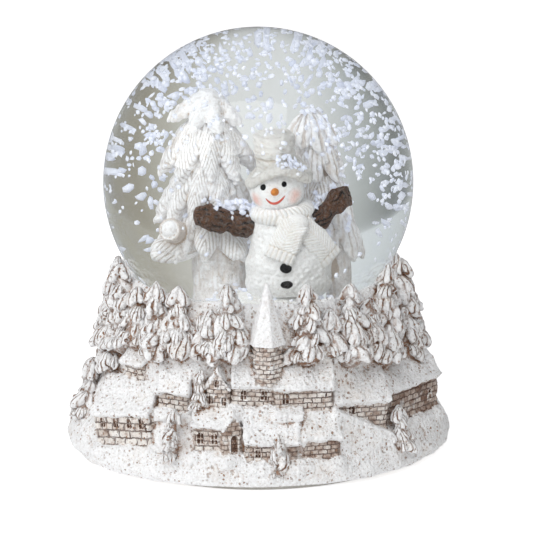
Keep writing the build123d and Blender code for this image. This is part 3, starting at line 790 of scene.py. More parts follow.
def rim_pine(foot, tip, R0, seed, size=1.0, inner=True, levels=None):
    """A snow-laden pine: uneven drooping boughs heaped round a slightly leaning axis."""
    foot, tip = np.array(foot, float), np.array(tip, float)
    ax = tip - foot
    hgt = np.linalg.norm(ax)
    ax = ax / hgt
    rad_out = np.array([foot[0] + tip[0], foot[1] + tip[1], 0.0])
    rad_out = rad_out / np.linalg.norm(rad_out)
    side = np.cross(ax, rad_out)
    side = side / np.linalg.norm(side)
    outw = np.cross(side, ax)
    r = np.random.RandomState(seed)
    cone(F, foot + ax * 1.0, tip - ax * 2.4, R0 * 0.66, 0.9, p0=0.0)
    step = 3.5 * size
    n_lev = levels or max(3, int(round((hgt - 3.4 * size) / step)))
    for i in range(n_lev):
        frac = (i + 0.2) / n_lev                         # 0 foot, 1 top
        rl = R0 * (1 - frac) ** 0.6 + 0.25
        cz = foot + ax * (hgt - 4.2 * size) * frac + ax * 0.4
        cnt = max(4, int(round(2 * math.pi * rl / (3.9 * size))))
        off = r.uniform(-0.25, 0.25) + (i % 2) * 0.5
        for j in range(cnt):
            al_ = 2 * math.pi * (j + off + r.uniform(-0.22, 0.22)) / cnt
            d = outw * math.cos(al_) + side * math.sin(al_)
            if d.dot(rad_out) < -0.45 and (frac < 0.55 or not inner):
                continue
            s = size * r.choice([0.72, 0.9, 1.05, 1.2, 1.36])
            c = cz + d * (rl * 0.84 - 0.5 + r.uniform(-0.35, 0.35)) + ax * r.uniform(-1.2, 1.2) * size
            l = d * r.uniform(0.30, 1.05) - ax * 0.9 + side * r.uniform(-0.55, 0.55)
            bough(F, c, l, d * 0.9 + ax * 0.4, 2.1 * s * r.uniform(0.95, 1.25), 1.85 * s * r.uniform(0.8, 1.2), 1.25 * s, seed=seed * 31 + i * 7 + j, freq=r.choice([3.0, 4.0, 5.0, 6.0]), k=r.choice([0.05, 0.12, 0.3]),
                  depth=0.16 * r.choice([0.0, 0.0, 0.7, 1.0]), paint=r.uniform(0.0, 0.3), lumpy=r.uniform(0.08, 0.2), tip=r.uniform(-0.45, 0.3))
    for j in range(4):
        al_ = 2 * math.pi * (j + r.uniform(-0.2, 0.2)) / 4 + r.uniform(0, 1.5)
        d = outw * math.cos(al_) + side * math.sin(al_)
        s = size * r.uniform(0.85, 1.2)
        c = tip - ax * (2.2 * s + r.uniform(-0.2, 0.5)) + d * 1.2 * s
        bough(F, c, d * r.uniform(0.4, 0.85) - ax * 0.9, d + ax * 0.5, 2.6 * s, 1.55 * s, 1.15 * s, k=0.25, seed=seed + j, freq=4.0, depth=0.08, paint=0.15, tip=r.uniform(0.0, 0.4), lumpy=0.12)
    cone(F, tip - ax * 1.8, tip - ax * 0.8, 0.95, 0.75, p0=0.0)


RING = [((-36.2, -15.4, 25.0), (-35.2, -8.6, 49.8), 5.9), ((-25.2, -28.8, 31.0), (-25.6, -26.8, 49.6), 4.5), ((-19.6, -32.0, 33.0), (-19.8, -30.6, 49.4), 4.9),
        ((-12.2, -35.4, 33.5), (-11.6, -34.4, 44.6), 4.2), ((-7.2, -36.2, 34.0), (-7.6, -35.4, 51.6), 5.6), ((12.0, -35.2, 33.0), (12.4, -34.2, 50.9), 5.7),
        ((23.2, -30.6, 31.0), (23.0, -28.2, 49.5), 5.5), ((31.4, -22.4, 28.6), (33.2, -14.4, 50.8), 5.6), ((37.8, -9.6, 25.0), (37.0, -3.0, 49.6), 5.4),
        ((-30.8, -23.0, 33.0), (-30.2, -20.4, 46.6), 4.9), ((18.0, -33.0, 33.0), (18.0, -32.0, 44.2), 3.6), ((28.2, -27.0, 31.0), (28.2, -24.4, 45.0), 3.8), ((-34.4, -19.6, 30.5), (-33.2, -16.4, 43.8), 4.2)]
for b, r0, z0, r1, z1, rr in [(88.0, 38.8, 27.0, 36.8, 48.5, 5.2), (104.0, 38.8, 24.0, 36.8, 50.0, 5.4), (120.0, 38.6, 26.0, 36.8, 47.6, 4.8), (134.0, 38.4, 25.0, 36.8, 50.0, 5.3), (150.0, 38.2, 25.5, 36.8, 48.6, 5.0),
                              (166.0, 38.0, 24.5, 36.8, 50.6, 5.4), (-177.0, 38.0, 26.5, 36.8, 48.4, 4.9), (-161.0, 38.0, 24.0, 36.8, 50.8, 5.5), (-145.0, 38.3, 26.5, 36.8, 48.4, 4.9),
                              (-130.0, 38.4, 24.5, 36.8, 50.4, 5.3), (-115.0, 38.6, 26.5, 36.8, 48.0, 5.0), (-100.0, 38.8, 25.0, 36.8, 50.2, 5.3), (-86.0, 38.8, 27.0, 36.6, 47.6, 4.8)]:
    RING.append((tuple(pt(b, r0, z0)), tuple(pt(b, r1 + 0.6, z1 - 2.6)), rr))

# x, y, z of the front wall's foot, yaw, width, wall height, roof run and rise, and details
HOUSES = [
    dict(x=-33.9, y=-31.9, z=8.2, yaw=-33, roll=8, W=17.6, h=7.6, run=9.0, rise=7.8, wins=[(-6.0, 4.5, 1.5, 2.5), (-1.8, 4.5, 1.5, 2.5), (2.4, 4.5, 1.5, 2.5), (6.2, 4.5, 1.5, 2.5)], brick=(1.9, 3.3), seed=1, thick=1.0, over=0.3),
    dict(x=-31.6, y=-25.6, z=24.0, yaw=-40, W=7.4, h=3.6, run=3.8, rise=4.2, wins=[(1.0, 0.6, 1.1, 2.0)], brick=(1.3, 2.2), seed=2, tone=0.28, thick=0.9),
    dict(x=-21.4, y=-34.9, z=18.6, yaw=-22, W=8.6, h=4.2, run=6.6, rise=9.4, brick=(1.3, 2.3), seed=3, tone=0.30, thick=1.6, lump=0.35),
    dict(x=-10.2, y=-39.6, z=19.6, yaw=-10, W=6.2, h=5.6, run=6.0, rise=4.8, gable=True, brick=(1.15, 2.0), wins=[(0.0, 6.2, 1.0, 1.9), (-1.6, 2.0, 1.1, 2.1), (1.7, 1.6, 1.1, 2.1)], seed=4, tone=0.36, thick=0.4, over=0.2),
    dict(x=-1.2, y=-39.4, z=21.0, yaw=8, roll=-4, W=10.8, h=4.8, run=7.0, rise=8.6, brick=(1.2, 2.3), wins=[(-2.6, 1.6, 1.5, 2.4), (2.6, 1.6, 1.5, 2.4)], seed=5, tone=0.30, thick=1.5, lump=0.3),
    dict(x=11.4, y=-38.6, z=18.8, yaw=9, W=14.8, h=6.4, run=7.6, rise=9.6, brick=(1.3, 2.4), wins=[(-4.6, 2.6, 1.6, 2.8)], seed=6, tone=0.32, thick=1.4, lump=0.3),
    dict(x=-12.4, y=-42.0, z=10.0, yaw=-9, W=7.8, h=6.2, run=5.6, rise=5.4, brick=(1.3, 2.3), wins=[(-2.0, 1.9, 1.6, 2.8), (1.6, 1.9, 1.4, 2.8)], seed=7, tone=0.30, thick=1.3),
    dict(x=-6.1, y=-43.2, z=9.6, yaw=24, W=5.2, h=6.2, run=5.0, rise=4.0, gable=True, brick=(1.2, 2.0), door=(0.3, 1.9, 4.6), seed=8, tone=0.48, thick=0.4, over=0.2),
    dict(x=7.8, y=-41.4, z=14.8, yaw=2, W=6.4, h=3.2, run=3.6, rise=1.2, brick=(1.2, 2.1), wins=[(0.2, 0.8, 1.4, 2.0)], seed=9, tone=0.46, thick=1.8, over=0.6),
    dict(x=3.4, y=-43.5, z=7.8, yaw=2, W=13.4, h=4.6, run=5.4, rise=7.0, brick=(1.2, 2.1), wins=[(-3.4, 0.9, 1.2, 2.1)], seed=10, tone=0.40, thick=1.6, lump=0.3),
    dict(x=15.9, y=-41.3, z=7.8, yaw=13, W=9.4, h=5.0, run=4.6, rise=5.2, brick=(1.15, 2.2), seed=11, tone=0.50, thick=1.6, lump=0.3),
    dict(x=25.9, y=-33.4, z=12.6, yaw=22, roll=-3, W=14.8, h=7.2, run=9.0, rise=8.4, brick=(1.2, 2.3), wins=[(-2.8, 4.3, 1.6, 2.5)], seed=12, tone=0.26, thick=1.6, lump=0.3),
    # This wall faces right, away from the key light: its high tone paints the bricks darker, as painted shade.
    dict(x=39.6, y=-18.2, z=11.6, yaw=54, roll=-2, W=25.0, h=8.2, run=7.6, rise=7.8, brick=(1.45, 2.5), wins=[(8.0, 2.8, 1.6, 2.8)], seed=13, tone=0.60, thick=1.3, over=0.3, lump=0.3),
    dict(x=45.0, y=9.5, z=8.5, yaw=96, W=14.0, h=7.2, run=7.6, rise=8.0, brick=(1.6, 2.8), wins=[(-3.6, 3.2, 1.5, 2.8), (0.2, 3.2, 1.5, 2.8), (4.0, 3.2, 1.5, 2.8)], seed=14),
    dict(x=35.8, y=27.8, z=8.5, yaw=128, W=15.0, h=7.2, run=7.6, rise=8.0, brick=(1.5, 2.6), wins=[(-4.4, 3.0, 1.5, 2.8), (4.4, 3.0, 1.5, 2.8)], door=(0.0, 2.2, 4.6), seed=15),
    dict(x=22.6, y=31.8, z=19.0, yaw=145, W=11.0, h=5.0, run=6.0, rise=6.0, brick=(1.3, 2.3), wins=[(-2.6, 1.6, 1.4, 2.5), (2.6, 1.6, 1.4, 2.5)], seed=16),
    dict(x=14.5, y=41.2, z=8.0, yaw=160, W=14.2, h=7.2, run=7.6, rise=7.4, brick=(1.5, 2.6), wins=[(-4.6, 3.0, 1.5, 2.8), (-0.8, 3.0, 1.5, 2.8), (3.0, 3.0, 1.5, 2.8)], seed=17),
    dict(x=0.5, y=38.4, z=19.2, yaw=180, W=12.6, h=5.4, run=6.0, rise=6.2, brick=(1.3, 2.3), wins=[(-3.4, 1.7, 1.4, 2.6), (0, 1.7, 1.4, 2.6), (3.4, 1.7, 1.4, 2.6)], seed=18),
    dict(x=-14.5, y=41.6, z=8.0, yaw=-162, W=14.2, h=7.2, run=7.6, rise=7.4, brick=(1.5, 2.6), wins=[(-3.6, 3.0, 1.5, 2.8), (4.2, 3.0, 1.5, 2.8)], door=(0.4, 2.2, 4.6), seed=19),
    dict(x=-23.2, y=32.0, z=19.2, yaw=-143, W=11.0, h=5.0, run=6.0, rise=6.0, brick=(1.3, 2.3), wins=[(-2.6, 1.6, 1.4, 2.5), (2.6, 1.6, 1.4, 2.5)], seed=20),
    dict(x=-35.8, y=27.8, z=8.5, yaw=-128, W=15.0, h=7.2, run=7.6, rise=8.0, brick=(1.5, 2.6), wins=[(-4.2, 3.0, 1.5, 2.8), (-0.4, 3.0, 1.5, 2.8), (4.4, 3.0, 1.5, 2.8)], seed=21),
    dict(x=-44.8, y=7.5, z=8.5, yaw=-97, W=14.5, h=7.2, run=7.6, rise=8.0, brick=(1.6, 2.8), wins=[(-4.0, 3.2, 1.5, 2.8), (4.0, 3.2, 1.5, 2.8)], door=(0.0, 2.2, 4.6), seed=22),
    dict(x=38.6, y=9.8, z=20.8, yaw=104, W=9.0, h=4.2, run=5.0, rise=4.6, brick=(1.3, 2.3), wins=[(0, 1.2, 1.4, 2.4)], seed=23),
    dict(x=-38.6, y=9.8, z=20.8, yaw=-104, W=9.0, h=4.2, run=5.0, rise=4.6, brick=(1.3, 2.3), wins=[(0, 1.2, 1.4, 2.4)], seed=24),
]
for hs in HOUSES:
    carve(hs["x"], hs["y"], hs["z"], hs["yaw"], hs["W"], hs["h"], hs.get("roll", 0.0))
for hs in HOUSES:
    house(**{k_: v_ for k_, v_ in hs.items() if k_ != "lift"})
for hs in HOUSES:
    bank(hs["x"], hs["y"], hs["z"], hs["yaw"], hs["W"], hs["seed"], hs.get("lift", 0.0), roll=hs.get("roll", 0.0))
f9, back9 = local(25.9, -33.4, 12.6, 22, -3)


def wedge(X, Y, Z):
    """Snow piled across the lower left of the wall, down to its right corner."""
    u, v, w = f9(X, Y, Z)
    d = (w + 0.5) * 0.90 + (u - 7.0) * 0.43
    d = np.maximum(d, np.maximum(v - 1.1 - 0.10 * (7.0 - u), -v - 3.0))
    return np.maximum(d, np.abs(u) - 8.2) - 0.15 * waves(X, Y, Z, 2.4, 44, 3), 0 * d


F.add(*bbox([back9(u, v, w) for u in (-8.5, 8.5) for v in (-3, 3) for w in (-3, 8)], 1.0), wedge, k=1.4, kind=0)
log("houses")

# church tower and octagonal spire
SX, SY, S0, S1, S2, SR = 2.2, -37.4, 29.6, 37.0, 52.4, 3.85


def octo(X, Y):
    a = [math.radians(-104.0 + 60 * k) for k in range(6)]
    d = None
    for q in a:
        e = (X - SX) * math.cos(q) + (Y - SY) * math.sin(q)
        d = e if d is None else np.maximum(d, e)
    return d


def tower(X, Y, Z):
    o = octo(X, Y)
    ang = np.arctan2(X - SX, -(Y - SY)) * 4.0
    w = Z - S0 + 0 * o
    j = joints_pattern(ang + 0 * w, w, 1.15, 1.15 * 1.8, 3)
    d = np.maximum(o - 3.55, np.maximum(S0 - 3 - Z, Z - S1)) + 0.12 * j - 0.3 * waves(X, Y, Z, 1.8, 5, 4)
    return d, np.clip(0.26 + 0.2 * waves(X, Y, Z, 1.5, 8, 3), 0, 1)


def spire(X, Y, Z):
    t_ = (Z - S1) / (S2 - S1)
    rad = SR * (1.0 - t_) ** 0.92 * (t_ < 1) + 0.0
    rad = SR * np.clip(1.0 - t_, 0.0, 1.2) + 0.35
    d = np.maximum((octo(X, Y) - rad) * 0.97, np.maximum(S1 - 0.35 - Z, Z - S2 + 0.25))
    return d, 0 * d


for i, (a, b, rr) in enumerate(RING):
    rim_pine(a, b, rr, 100 + i)
heap = np.random.RandomState(71)
for i in range(150):
    b = -100 + 200 * (i + heap.uniform(-0.4, 0.4)) / 150
    z = heap.uniform(25.0, 41.0) if i % 3 else heap.uniform(24.0, 29.0)
    if abs(b - 3.4) < 8.5 and z < 40 or (22 < b < 84 and z < 31.5) or (-40 < b <= 22 and z < 34.5) or (-64 < b <= -40 and z < 34.0):
        continue
    rr_ = float(core_r(b, z)) + heap.uniform(-0.2, 1.5)
    c = pt(b, rr_, z)
    d = pt(b, 1.0, 0.0)
    t_ = np.array([d[1], -d[0], 0.0])
    s_ = heap.choice([0.55, 0.75, 0.95, 1.2])
    bough(F, c, d * heap.uniform(0.3, 1.1) + t_ * heap.uniform(-0.8, 0.8) - np.array([0, 0, 1.0]), d + np.array([0, 0, 0.6]), 2.4 * s_, 1.7 * s_, 1.3 * s_, k=0.5, kind=2 if i % 4 else 0, seed=900 + i, freq=heap.choice([3.0, 5.0, 6.0]),
          depth=0.12, paint=0.2, lumpy=0.18, tip=heap.uniform(-0.2, 0.4))
log("pines")
F.add((SX - 6, SY - 6, S0 - 4), (SX + 6, SY + 6, S1 + 1.5), tower, k=0.15, kind=1, tag=("wall", lambda X, Y, Z: (np.arctan2(X - SX, -(Y - SY)) * 4.0 / 1.15, Y, (Z - S0) / 1.15)))
F.add((SX - 6, SY - 6, S1 - 1.5), (SX + 6, SY + 6, S2 + 1.5), spire, k=0.0, kind=3)
for i, (a, b, rr, s) in enumerate([((-14.6, -38.6, 20.4), (-14.0, -37.6, 29.8), 2.3, 0.62), ((-21.8, -40.6, 8.0), (-21.2, -39.0, 20.0), 2.6, 0.72), ((5.4, -43.4, 4.6), (5.0, -43.0, 14.6), 2.9, 0.82),
                                   ((36.6, -29.6, 7.4), (35.6, -27.6, 17.4), 3.1, 0.85), ((-45.4, -10.2, 9.0), (-42.6, -9.0, 24.2), 3.9, 1.0), ((40.2, 21.4, 8.0), (39.0, 20.6, 19.2), 2.8, 0.75),
                                   ((26.0, 37.0, 8.0), (25.0, 36.0, 18.6), 2.7, 0.72), ((0.0, 44.2, 7.0), (0.0, 43.0, 17.6), 2.7, 0.72), ((-26.0, 37.0, 8.0), (-25.0, 36.0, 18.6), 2.7, 0.72),
                                   ((-42.0, 18.5, 8.0), (-41.0, 18.0, 19.2), 2.8, 0.75), ((-47.0, -3.6, 6.0), (-45.2, -3.0, 15.5), 2.6, 0.72)]):
    rim_pine(a, b, rr, 300 + i, size=s, inner=False)
log("small pines")
roughen(F, 0.085, 1.5, 20, kinds=[0], band=0.9, count=8)
roughen(F, 0.05, 0.85, 21, kinds=[0], band=0.9, count=8)


def ball(X, Y, Z):
    return np.sqrt(X ** 2 + Y ** 2 + (Z - GLOBE_Z) ** 2) - (GLOBE_R + 0.12), None


def tube(r):
    return lambda X, Y, Z: (np.sqrt(X ** 2 + Y ** 2) - r + 0 * Z, None)


F.cut((-36, -36, 35), (36, 36, 54), ball, k=0.12)
F.cut((-29, -29, 18), (29, 29, 42), lambda X, Y, Z: (np.maximum(np.sqrt(X ** 2 + Y ** 2) - 27.8, np.maximum(19.5 - Z, Z - 41)), None), k=0.1)
F.cut((-38, -38, 0), (38, 38, 22), lambda X, Y, Z: (np.maximum(np.sqrt(X ** 2 + Y ** 2) - (36.5 - (Z - 3.2) * 4.0 / 17.3), np.maximum(3.0 - Z, Z - 20.5)), None), k=0.3)
F.cut((-40, -40, -1), (40, 40, 5), lambda X, Y, Z: (np.maximum(np.sqrt(X ** 2 + Y ** 2) - 38.7, Z - 3.2), None), k=0.0)
F.cut((-53, -50, -1), (53, 50, 2.4), lambda X, Y, Z: (Z - (FELT_T + 0.05) + 0 * X + 0 * Y, None), k=0.5)
field_piece("cast_village_base", F, "root", M_CAST, nodes=("base_casting",))
del F

# ------------------------------------------------------------------ inner scene
HS = 0.15


def unit(v):
    v = np.array(v, float)
    return v / np.linalg.norm(v)


def ellipsoid(FF, c, r, k=0.4, kind=None, paint=None, warp=0.0, seed=0, wscale=4.0):
    c, r = np.array(c, float), np.array(r, float)

    def g(X, Y, Z):
        x, y, z = (X - f4(c[0])) / r[0], (Y - f4(c[1])) / r[1], (Z - f4(c[2])) / r[2]
        q = np.sqrt(x * x + y * y + z * z)
        q2 = np.sqrt((x / r[0]) ** 2 + (y / r[1]) ** 2 + (z / r[2]) ** 2) + 1e-6
        d = q * (q - 1) / q2
        if warp:
            d = d - warp * waves(X, Y, Z, wscale, seed, 4)
        return d, None if paint is None else paint + 0 * d
    FF.add(c - r - 1.2, c + r + 1.2, g, k=k, kind=kind)


def drape(FF, ax_xy, z_top, r_top, z_tip, r_tip, ang, al, aw, an, seed, paint=0.7, freq=8.0, depth=0.17, k=0.35, kind=2, tip=-0.12, lumpy=0.06, feather=True):
    """One broad snow-laden bough of the inner firs, hanging from the trunk line outwards and down."""
    a = math.radians(ang)
    d = np.array([math.sin(a), -math.cos(a), 0.0])
    top = np.array([ax_xy[0], ax_xy[1], z_top]) + d * r_top
    low = np.array([ax_xy[0], ax_xy[1], z_tip]) + d * r_tip
    l = low - top
    c = (top + low) / 2
    bough(FF, c, l, d, np.linalg.norm(l) / 2 * al, aw, an, k=k, kind=kind, freq=freq, depth=depth, tip=tip, seed=seed, paint=paint, lumpy=lumpy, feather=feather)


def trunk(FF, a, b, ra, rb, seed, paint=0.55, ridges=15, depth=0.16, kind=2):
    a, b = np.array(a, float), np.array(b, float)
    L = np.linalg.norm(b - a)
    u = (b - a) / L
    R = max(ra, rb) + 1.0
    lo, hi = bbox([a - R, a + R, b - R, b + R], 0)

    def g(X, Y, Z):
        x, y, z = X - f4(a[0]), Y - f4(a[1]), Z - f4(a[2])
        t_ = np.clip(x * u[0] + y * u[1] + z * u[2], 0, L)
        d = np.sqrt((x - t_ * u[0]) ** 2 + (y - t_ * u[1]) ** 2 + (z - t_ * u[2]) ** 2) - (ra + (rb - ra) * t_ / L)
        th = np.arctan2(y, x) + 0.05 * waves(X, Y, Z, 6.0, seed, 3)
        s = np.cos(th * ridges)
        gr = np.clip(s * 1.4 - 0.3, 0, 1) * np.clip(0.5 + 0.8 * waves(X, Y, Z * 0.4, 2.5, seed + 7, 3), 0, 1)
        return d + depth * gr + 0.20 * waves(X, Y, Z * 0.6, 3.0, seed + 1, 3), paint * gr
    FF.add(lo, hi, g, k=0.4, kind=kind)


# --- large fir, behind on the left
F = Field((-22.6, -6.0, 44.5), (4.0, 17.5, 87.0), HS, 2)
AX = (-9.6, 5.0)
trunk(F, (-6.8, 4.4, 44.0), (-7.2, 4.8, 57.0), 4.9, 4.6, 5, paint=0.14, ridges=29, depth=0.08)
cone(F, (AX[0], AX[1], 60.0), (AX[0], AX[1], 83.0), 5.0, 1.4, p0=0.15)
r = np.random.RandomState(3)
# cap of smooth snow lobes
for i, (ang, zl, rl) in enumerate(((-88, 80.0, 7.4), (-36, 79.4, 5.6), (18, 79.0, 5.6), (78, 79.4, 6.2), (138, 79.8, 6.2), (196, 80.0, 6.2), (238, 79.6, 6.2))):
    drape(F, AX, 84.9, 0.6, zl, rl, ang, 1.08, 2.2, 1.5, 60 + i, paint=0.0, freq=3.0, depth=0.0, k=0.9, kind=0, lumpy=0.14, tip=-0.05)
ellipsoid(F, (-9.7, 5.0, 84.0), (1.5, 1.4, 1.7), k=0.8, kind=0, paint=0.0)
# feathered tiers
for tier, (zt, rt, zl, rl, angs, aw, an) in enumerate(((80.4, 1.8, 69.2, 8.6, (-92, -50, 4, 50, 94, 146, 206), 2.9, 1.8), (72.6, 2.4, 60.8, 9.0, (-98, -62, -20, 26, 72, 118, 170, 222), 2.8, 1.7), (64.6, 2.6, 54.4, 8.8, (-104, -54, -6, 46, 98, 150, 208), 2.8, 1.7))):
    for i, ang in enumerate(angs):
        front = 1.0 - 0.25 * max(0.0, math.cos(math.radians(ang)))
        drape(F, AX, zt + r.uniform(-0.6, 0.6), rt, zl + r.uniform(-1.0, 1.0), rl * front + r.uniform(-0.3, 0.5), ang + r.uniform(-5, 5), 1.08, aw * r.uniform(0.9, 1.1), an, tier * 20 + i, paint=r.uniform(0.0, 0.15), feather=(fe := bool(r.uniform() < 0.4)), freq=1.7 if fe else 10.0, depth=0.04, k=0.12, tip=-0.3, lumpy=0.12)
# long low bough to the left with a snowball on its broken end, and one to the front right
bough(F, (-15.0, 2.6, 56.6), (-1.0, -0.12, -0.30), (-0.2, -0.55, 0.8), 5.4, 3.3, 2.2, k=0.5, freq=1.2, depth=0.09, seed=3, paint=0.25, tip=0.1, feather=True)
bough(F, (-15.6, 1.6, 54.9), (-1.0, -0.15, -0.12), (0, -0.8, 0.5), 4.9, 2.2, 1.6, k=0.5, freq=1.2, depth=0.09, seed=4, paint=0.25, tip=0.1, feather=True)
bough(F, (-5.0, 0.6, 57.4), (0.35, -0.75, -0.65), (0.1, -0.6, 0.8), 4.6, 3.4, 2.0, k=0.5, freq=1.35, depth=0.09, seed=5, paint=0.25, tip=0.0, feather=True)
bough(F, (-9.6, -0.2, 58.4), (-0.25, -0.75, -0.62), (0.0, -0.6, 0.8), 4.8, 3.0, 1.9, k=0.5, freq=1.35, depth=0.09, seed=6, paint=0.25, tip=0.0, feather=True)
bough(F, (-2.6, 2.0, 55.6), (0.6, -0.5, -0.6), (0.4, -0.6, 0.7), 3.9, 2.6, 1.8, k=0.5, freq=1.35, depth=0.09, seed=7, paint=0.25, tip=0.0, feather=True)
cone(F, (-13.6, 3.0, 58.0), (-16.6, -0.6, 59.4), 2.1, 2.15, p0=0.45, k=0.5)


def log_end(X, Y, Z):
    c, u = np.array([-16.6, -1.0, 59.6]), unit((-0.55, -1.0, 0.28))
    x, y, z = X - c[0], Y - c[1], Z - c[2]
    t_ = x * u[0] + y * u[1] + z * u[2]
    q = np.sqrt(np.maximum(x * x + y * y + z * z - t_ * t_, 0))
    d = np.maximum(np.abs(t_) - 1.5, q - 2.35) - 0.1 * np.cos(q * 6.5) * (q > 1.7)
    return d, np.where(q > 1.95, 0.22, 0.0) + 0 * t_


F.add((-20, -4.5, 55.5), (-13, 2.5, 63.5), log_end, k=0.3, kind=2)
ellipsoid(F, (-16.95, -2.0, 59.95), (1.85, 1.2, 1.85), k=0.15, kind=0, paint=0.0)
F.cut((-30, -10, 40), (10, 25, 46.2), lambda X, Y, Z: (Z - 46.0 + 0 * X + 0 * Y, None), k=0)
field_piece("fir_left", F, "root", M_FIR, nodes=("fir_tree_left",), cav_mm=(0.6, 2.0))

# --- smaller fir, behind on the right
F = Field((1.0, -0.5, 44.5), (21.6, 15.5, 84.0), HS, 2)
AR = (10.4, 6.8)
AL = (13.6, 6.2)
trunk(F, (14.4, 6.0, 44.0), (14.2, 6.2, 58.0), 2.3, 2.0, 8, paint=0.2, ridges=13, depth=0.1)
cone(F, (12.6, 6.6, 52.0), (9.6, 6.6, 79.6), 3.4, 1.0, p0=0.35)
for i, ang in enumerate((-70, -20, 28, 78, 130, 182, 236)):
    drape(F, (9.6, 6.6), 81.0, 0.7, 74.6 + r.uniform(-0.5, 0.6), 4.7 + r.uniform(-0.3, 0.4), ang, 1.10, 1.9, 1.3, 160 + i, paint=0.3, freq=5.0, depth=0.13, k=0.4, kind=2, lumpy=0.08, feather=False, tip=0.3)
ellipsoid(F, (9.5, 6.5, 80.6), (1.2, 1.2, 1.3), k=0.6, kind=0, paint=0.0)
for tier, (zt, rt, zl, rl, n_, off, cx, aw) in enumerate(((76.0, 1.6, 68.0, 4.9, 7, 10, 10.6, 2.2), (69.4, 2.0, 60.6, 5.4, 8, 36, 11.8, 2.2), (62.4, 1.8, 53.2, 5.2, 7, 2, 13.6, 2.4))):
    for i in range(n_):
        ang = off + 360.0 * i / n_ + r.uniform(-7, 7)
        drape(F, (cx, 6.4), zt + r.uniform(-0.5, 0.5), rt, zl + r.uniform(-0.7, 0.7), rl + r.uniform(-0.3, 0.2), ang, 1.06, aw * r.uniform(0.9, 1.1), 1.2, 200 + tier * 20 + i, paint=r.uniform(0.1, 0.35), feather=(fe := bool(r.uniform() < 0.35)), freq=1.7 if fe else 9.0, depth=0.07, k=0.15, tip=-0.25, lumpy=0.10)
F.cut((-30, -10, 40), (30, 25, 46.2), lambda X, Y, Z: (Z - 46.0 + 0 * X + 0 * Y, None), k=0)
field_piece("fir_right", F, "root", M_FIR, nodes=("fir_tree_right",), cav_mm=(0.6, 2.0))

# --- snowy ground
F = Field((-19, -19, 38.2), (19, 19, 52.0), 0.24, 0)


def ground(X, Y, Z):
    q = np.sqrt(X ** 2 + Y ** 2)
    top = 47.6 + 0.7 * np.sin(X * 0.25 + 1.0) * np.cos(Y * 0.22) - 0.012 * q ** 2 + 0.9 * np.exp(-((X - 6) ** 2 + (Y + 4) ** 2) / 90) + 0.9 * np.exp(-((X + 7) ** 2 + (Y - 5) ** 2) / 60)
    rr = 16.9 + 0.35 * np.sin(3 * np.arctan2(Y, X) + 1.0)
    a = q - rr + 0 * Z
    b = Z - top
    d = np.maximum(a, b)
    kk = np.clip(0.5 + 0.5 * (a - b) / 2.4, 0, 1)
    d = b + (a - b) * kk + 2.4 * kk * (1 - kk)
    return np.maximum(d, 38.55 - Z), None


F.add((-19, -19, 38), (19, 19, 52), ground, k=0)
roughen(F, 0.25, 3.5, 31, band=2)
roughen(F, 0.12, 1.2, 32, band=2)
F.cut((-20, -20, 37), (20, 20, 39), lambda X, Y, Z: (Z - 38.5 + 0 * X + 0 * Y, None), k=0)
field_piece("snow_ground", F, "root", M_SNOW, nodes=("snow_mound",))

# --- snowman: body and head
HB = 0.15
F = Field((-4.5, -14.5, 46.4), (16.6, 6.0, 75.0), HB, 0)
ellipsoid(F, (5.95, -4.4, 53.2), (8.35, 8.0, 7.4), kind=0, paint=0.0, warp=0.12, seed=2)
ellipsoid(F, (5.95, -4.2, 49.6), (8.3, 8.0, 4.2), k=1.5, kind=0, paint=0.0)
ellipsoid(F, (5.0, -4.2, 60.2), (6.7, 6.0, 5.4), k=2.2, kind=0, paint=0.0)
roughen(F, 0.10, 1.1, 41, band=1.2)
ellipsoid(F, (3.7, -4.7, 68.8), (5.5, 5.05, 5.0), k=0.4, kind=5, paint=0.0)
F.cut((-20, -20, 37), (20, 20, 48), lambda X, Y, Z: (Z - 47.0 + 0 * X + 0 * Y, None), k=0)


def head_y(x, z):
    q = 1 - ((x - 3.7) / 5.5) ** 2 - ((z - 68.8) / 5.0) ** 2
    return -4.7 - 5.05 * math.sqrt(max(q, 0.02))


def body_y(x, z):
    q = 1 - ((x - 5.95) / 8.35) ** 2 - ((z - 53.2) / 7.4) ** 2
    q2 = 1 - ((x - 5.95) / 8.3) ** 2 - ((z - 49.6) / 4.2) ** 2
    return min(-4.4 - 8.0 * math.sqrt(max(q, 0.02)), -4.2 - 8.0 * math.sqrt(max(q2, 0.0))) - 0.12


body_ob = field_piece("snowman_body", F, "root", M_BODY, nodes=("snowman",))

# --- hat
F = Field((-5.0, -13.5, 66.0), (14.0, 5.0, 82.5), HB, 4)


def brim(X, Y, Z):
    x, y = X - 4.2, Y + 4.7
    q = np.sqrt(x * x + (y * 1.04) ** 2)
    ph = np.arctan2(x, -y)
    zr = 72.05 + 1.55 * np.cos(2 * ph) + 0.115 * x - 0.5 * (np.cos(ph) < 0) * np.cos(ph) * 0
    t_ = np.clip((q - 3.2) / 2.5, 0, 1)
    qq = q - (3.2 + 2.5 * t_)
    zz = Z - (zr + 1.1 * (1 - t_))
    d = np.sqrt(qq ** 2 + zz ** 2) - (0.72 + 0.35 * t_)
    rib = np.cos((ph * 5.7 + 0 * Z) * 6.0 + q * 1.5)
    return d + 0.03 * rib + 0.14 * waves(X, Y, Z, 2.2, 4, 4) + 0.06 * waves(X, Y, Z, 0.9, 14, 4), 0.06 * (rib > 0.55) + 0 * d


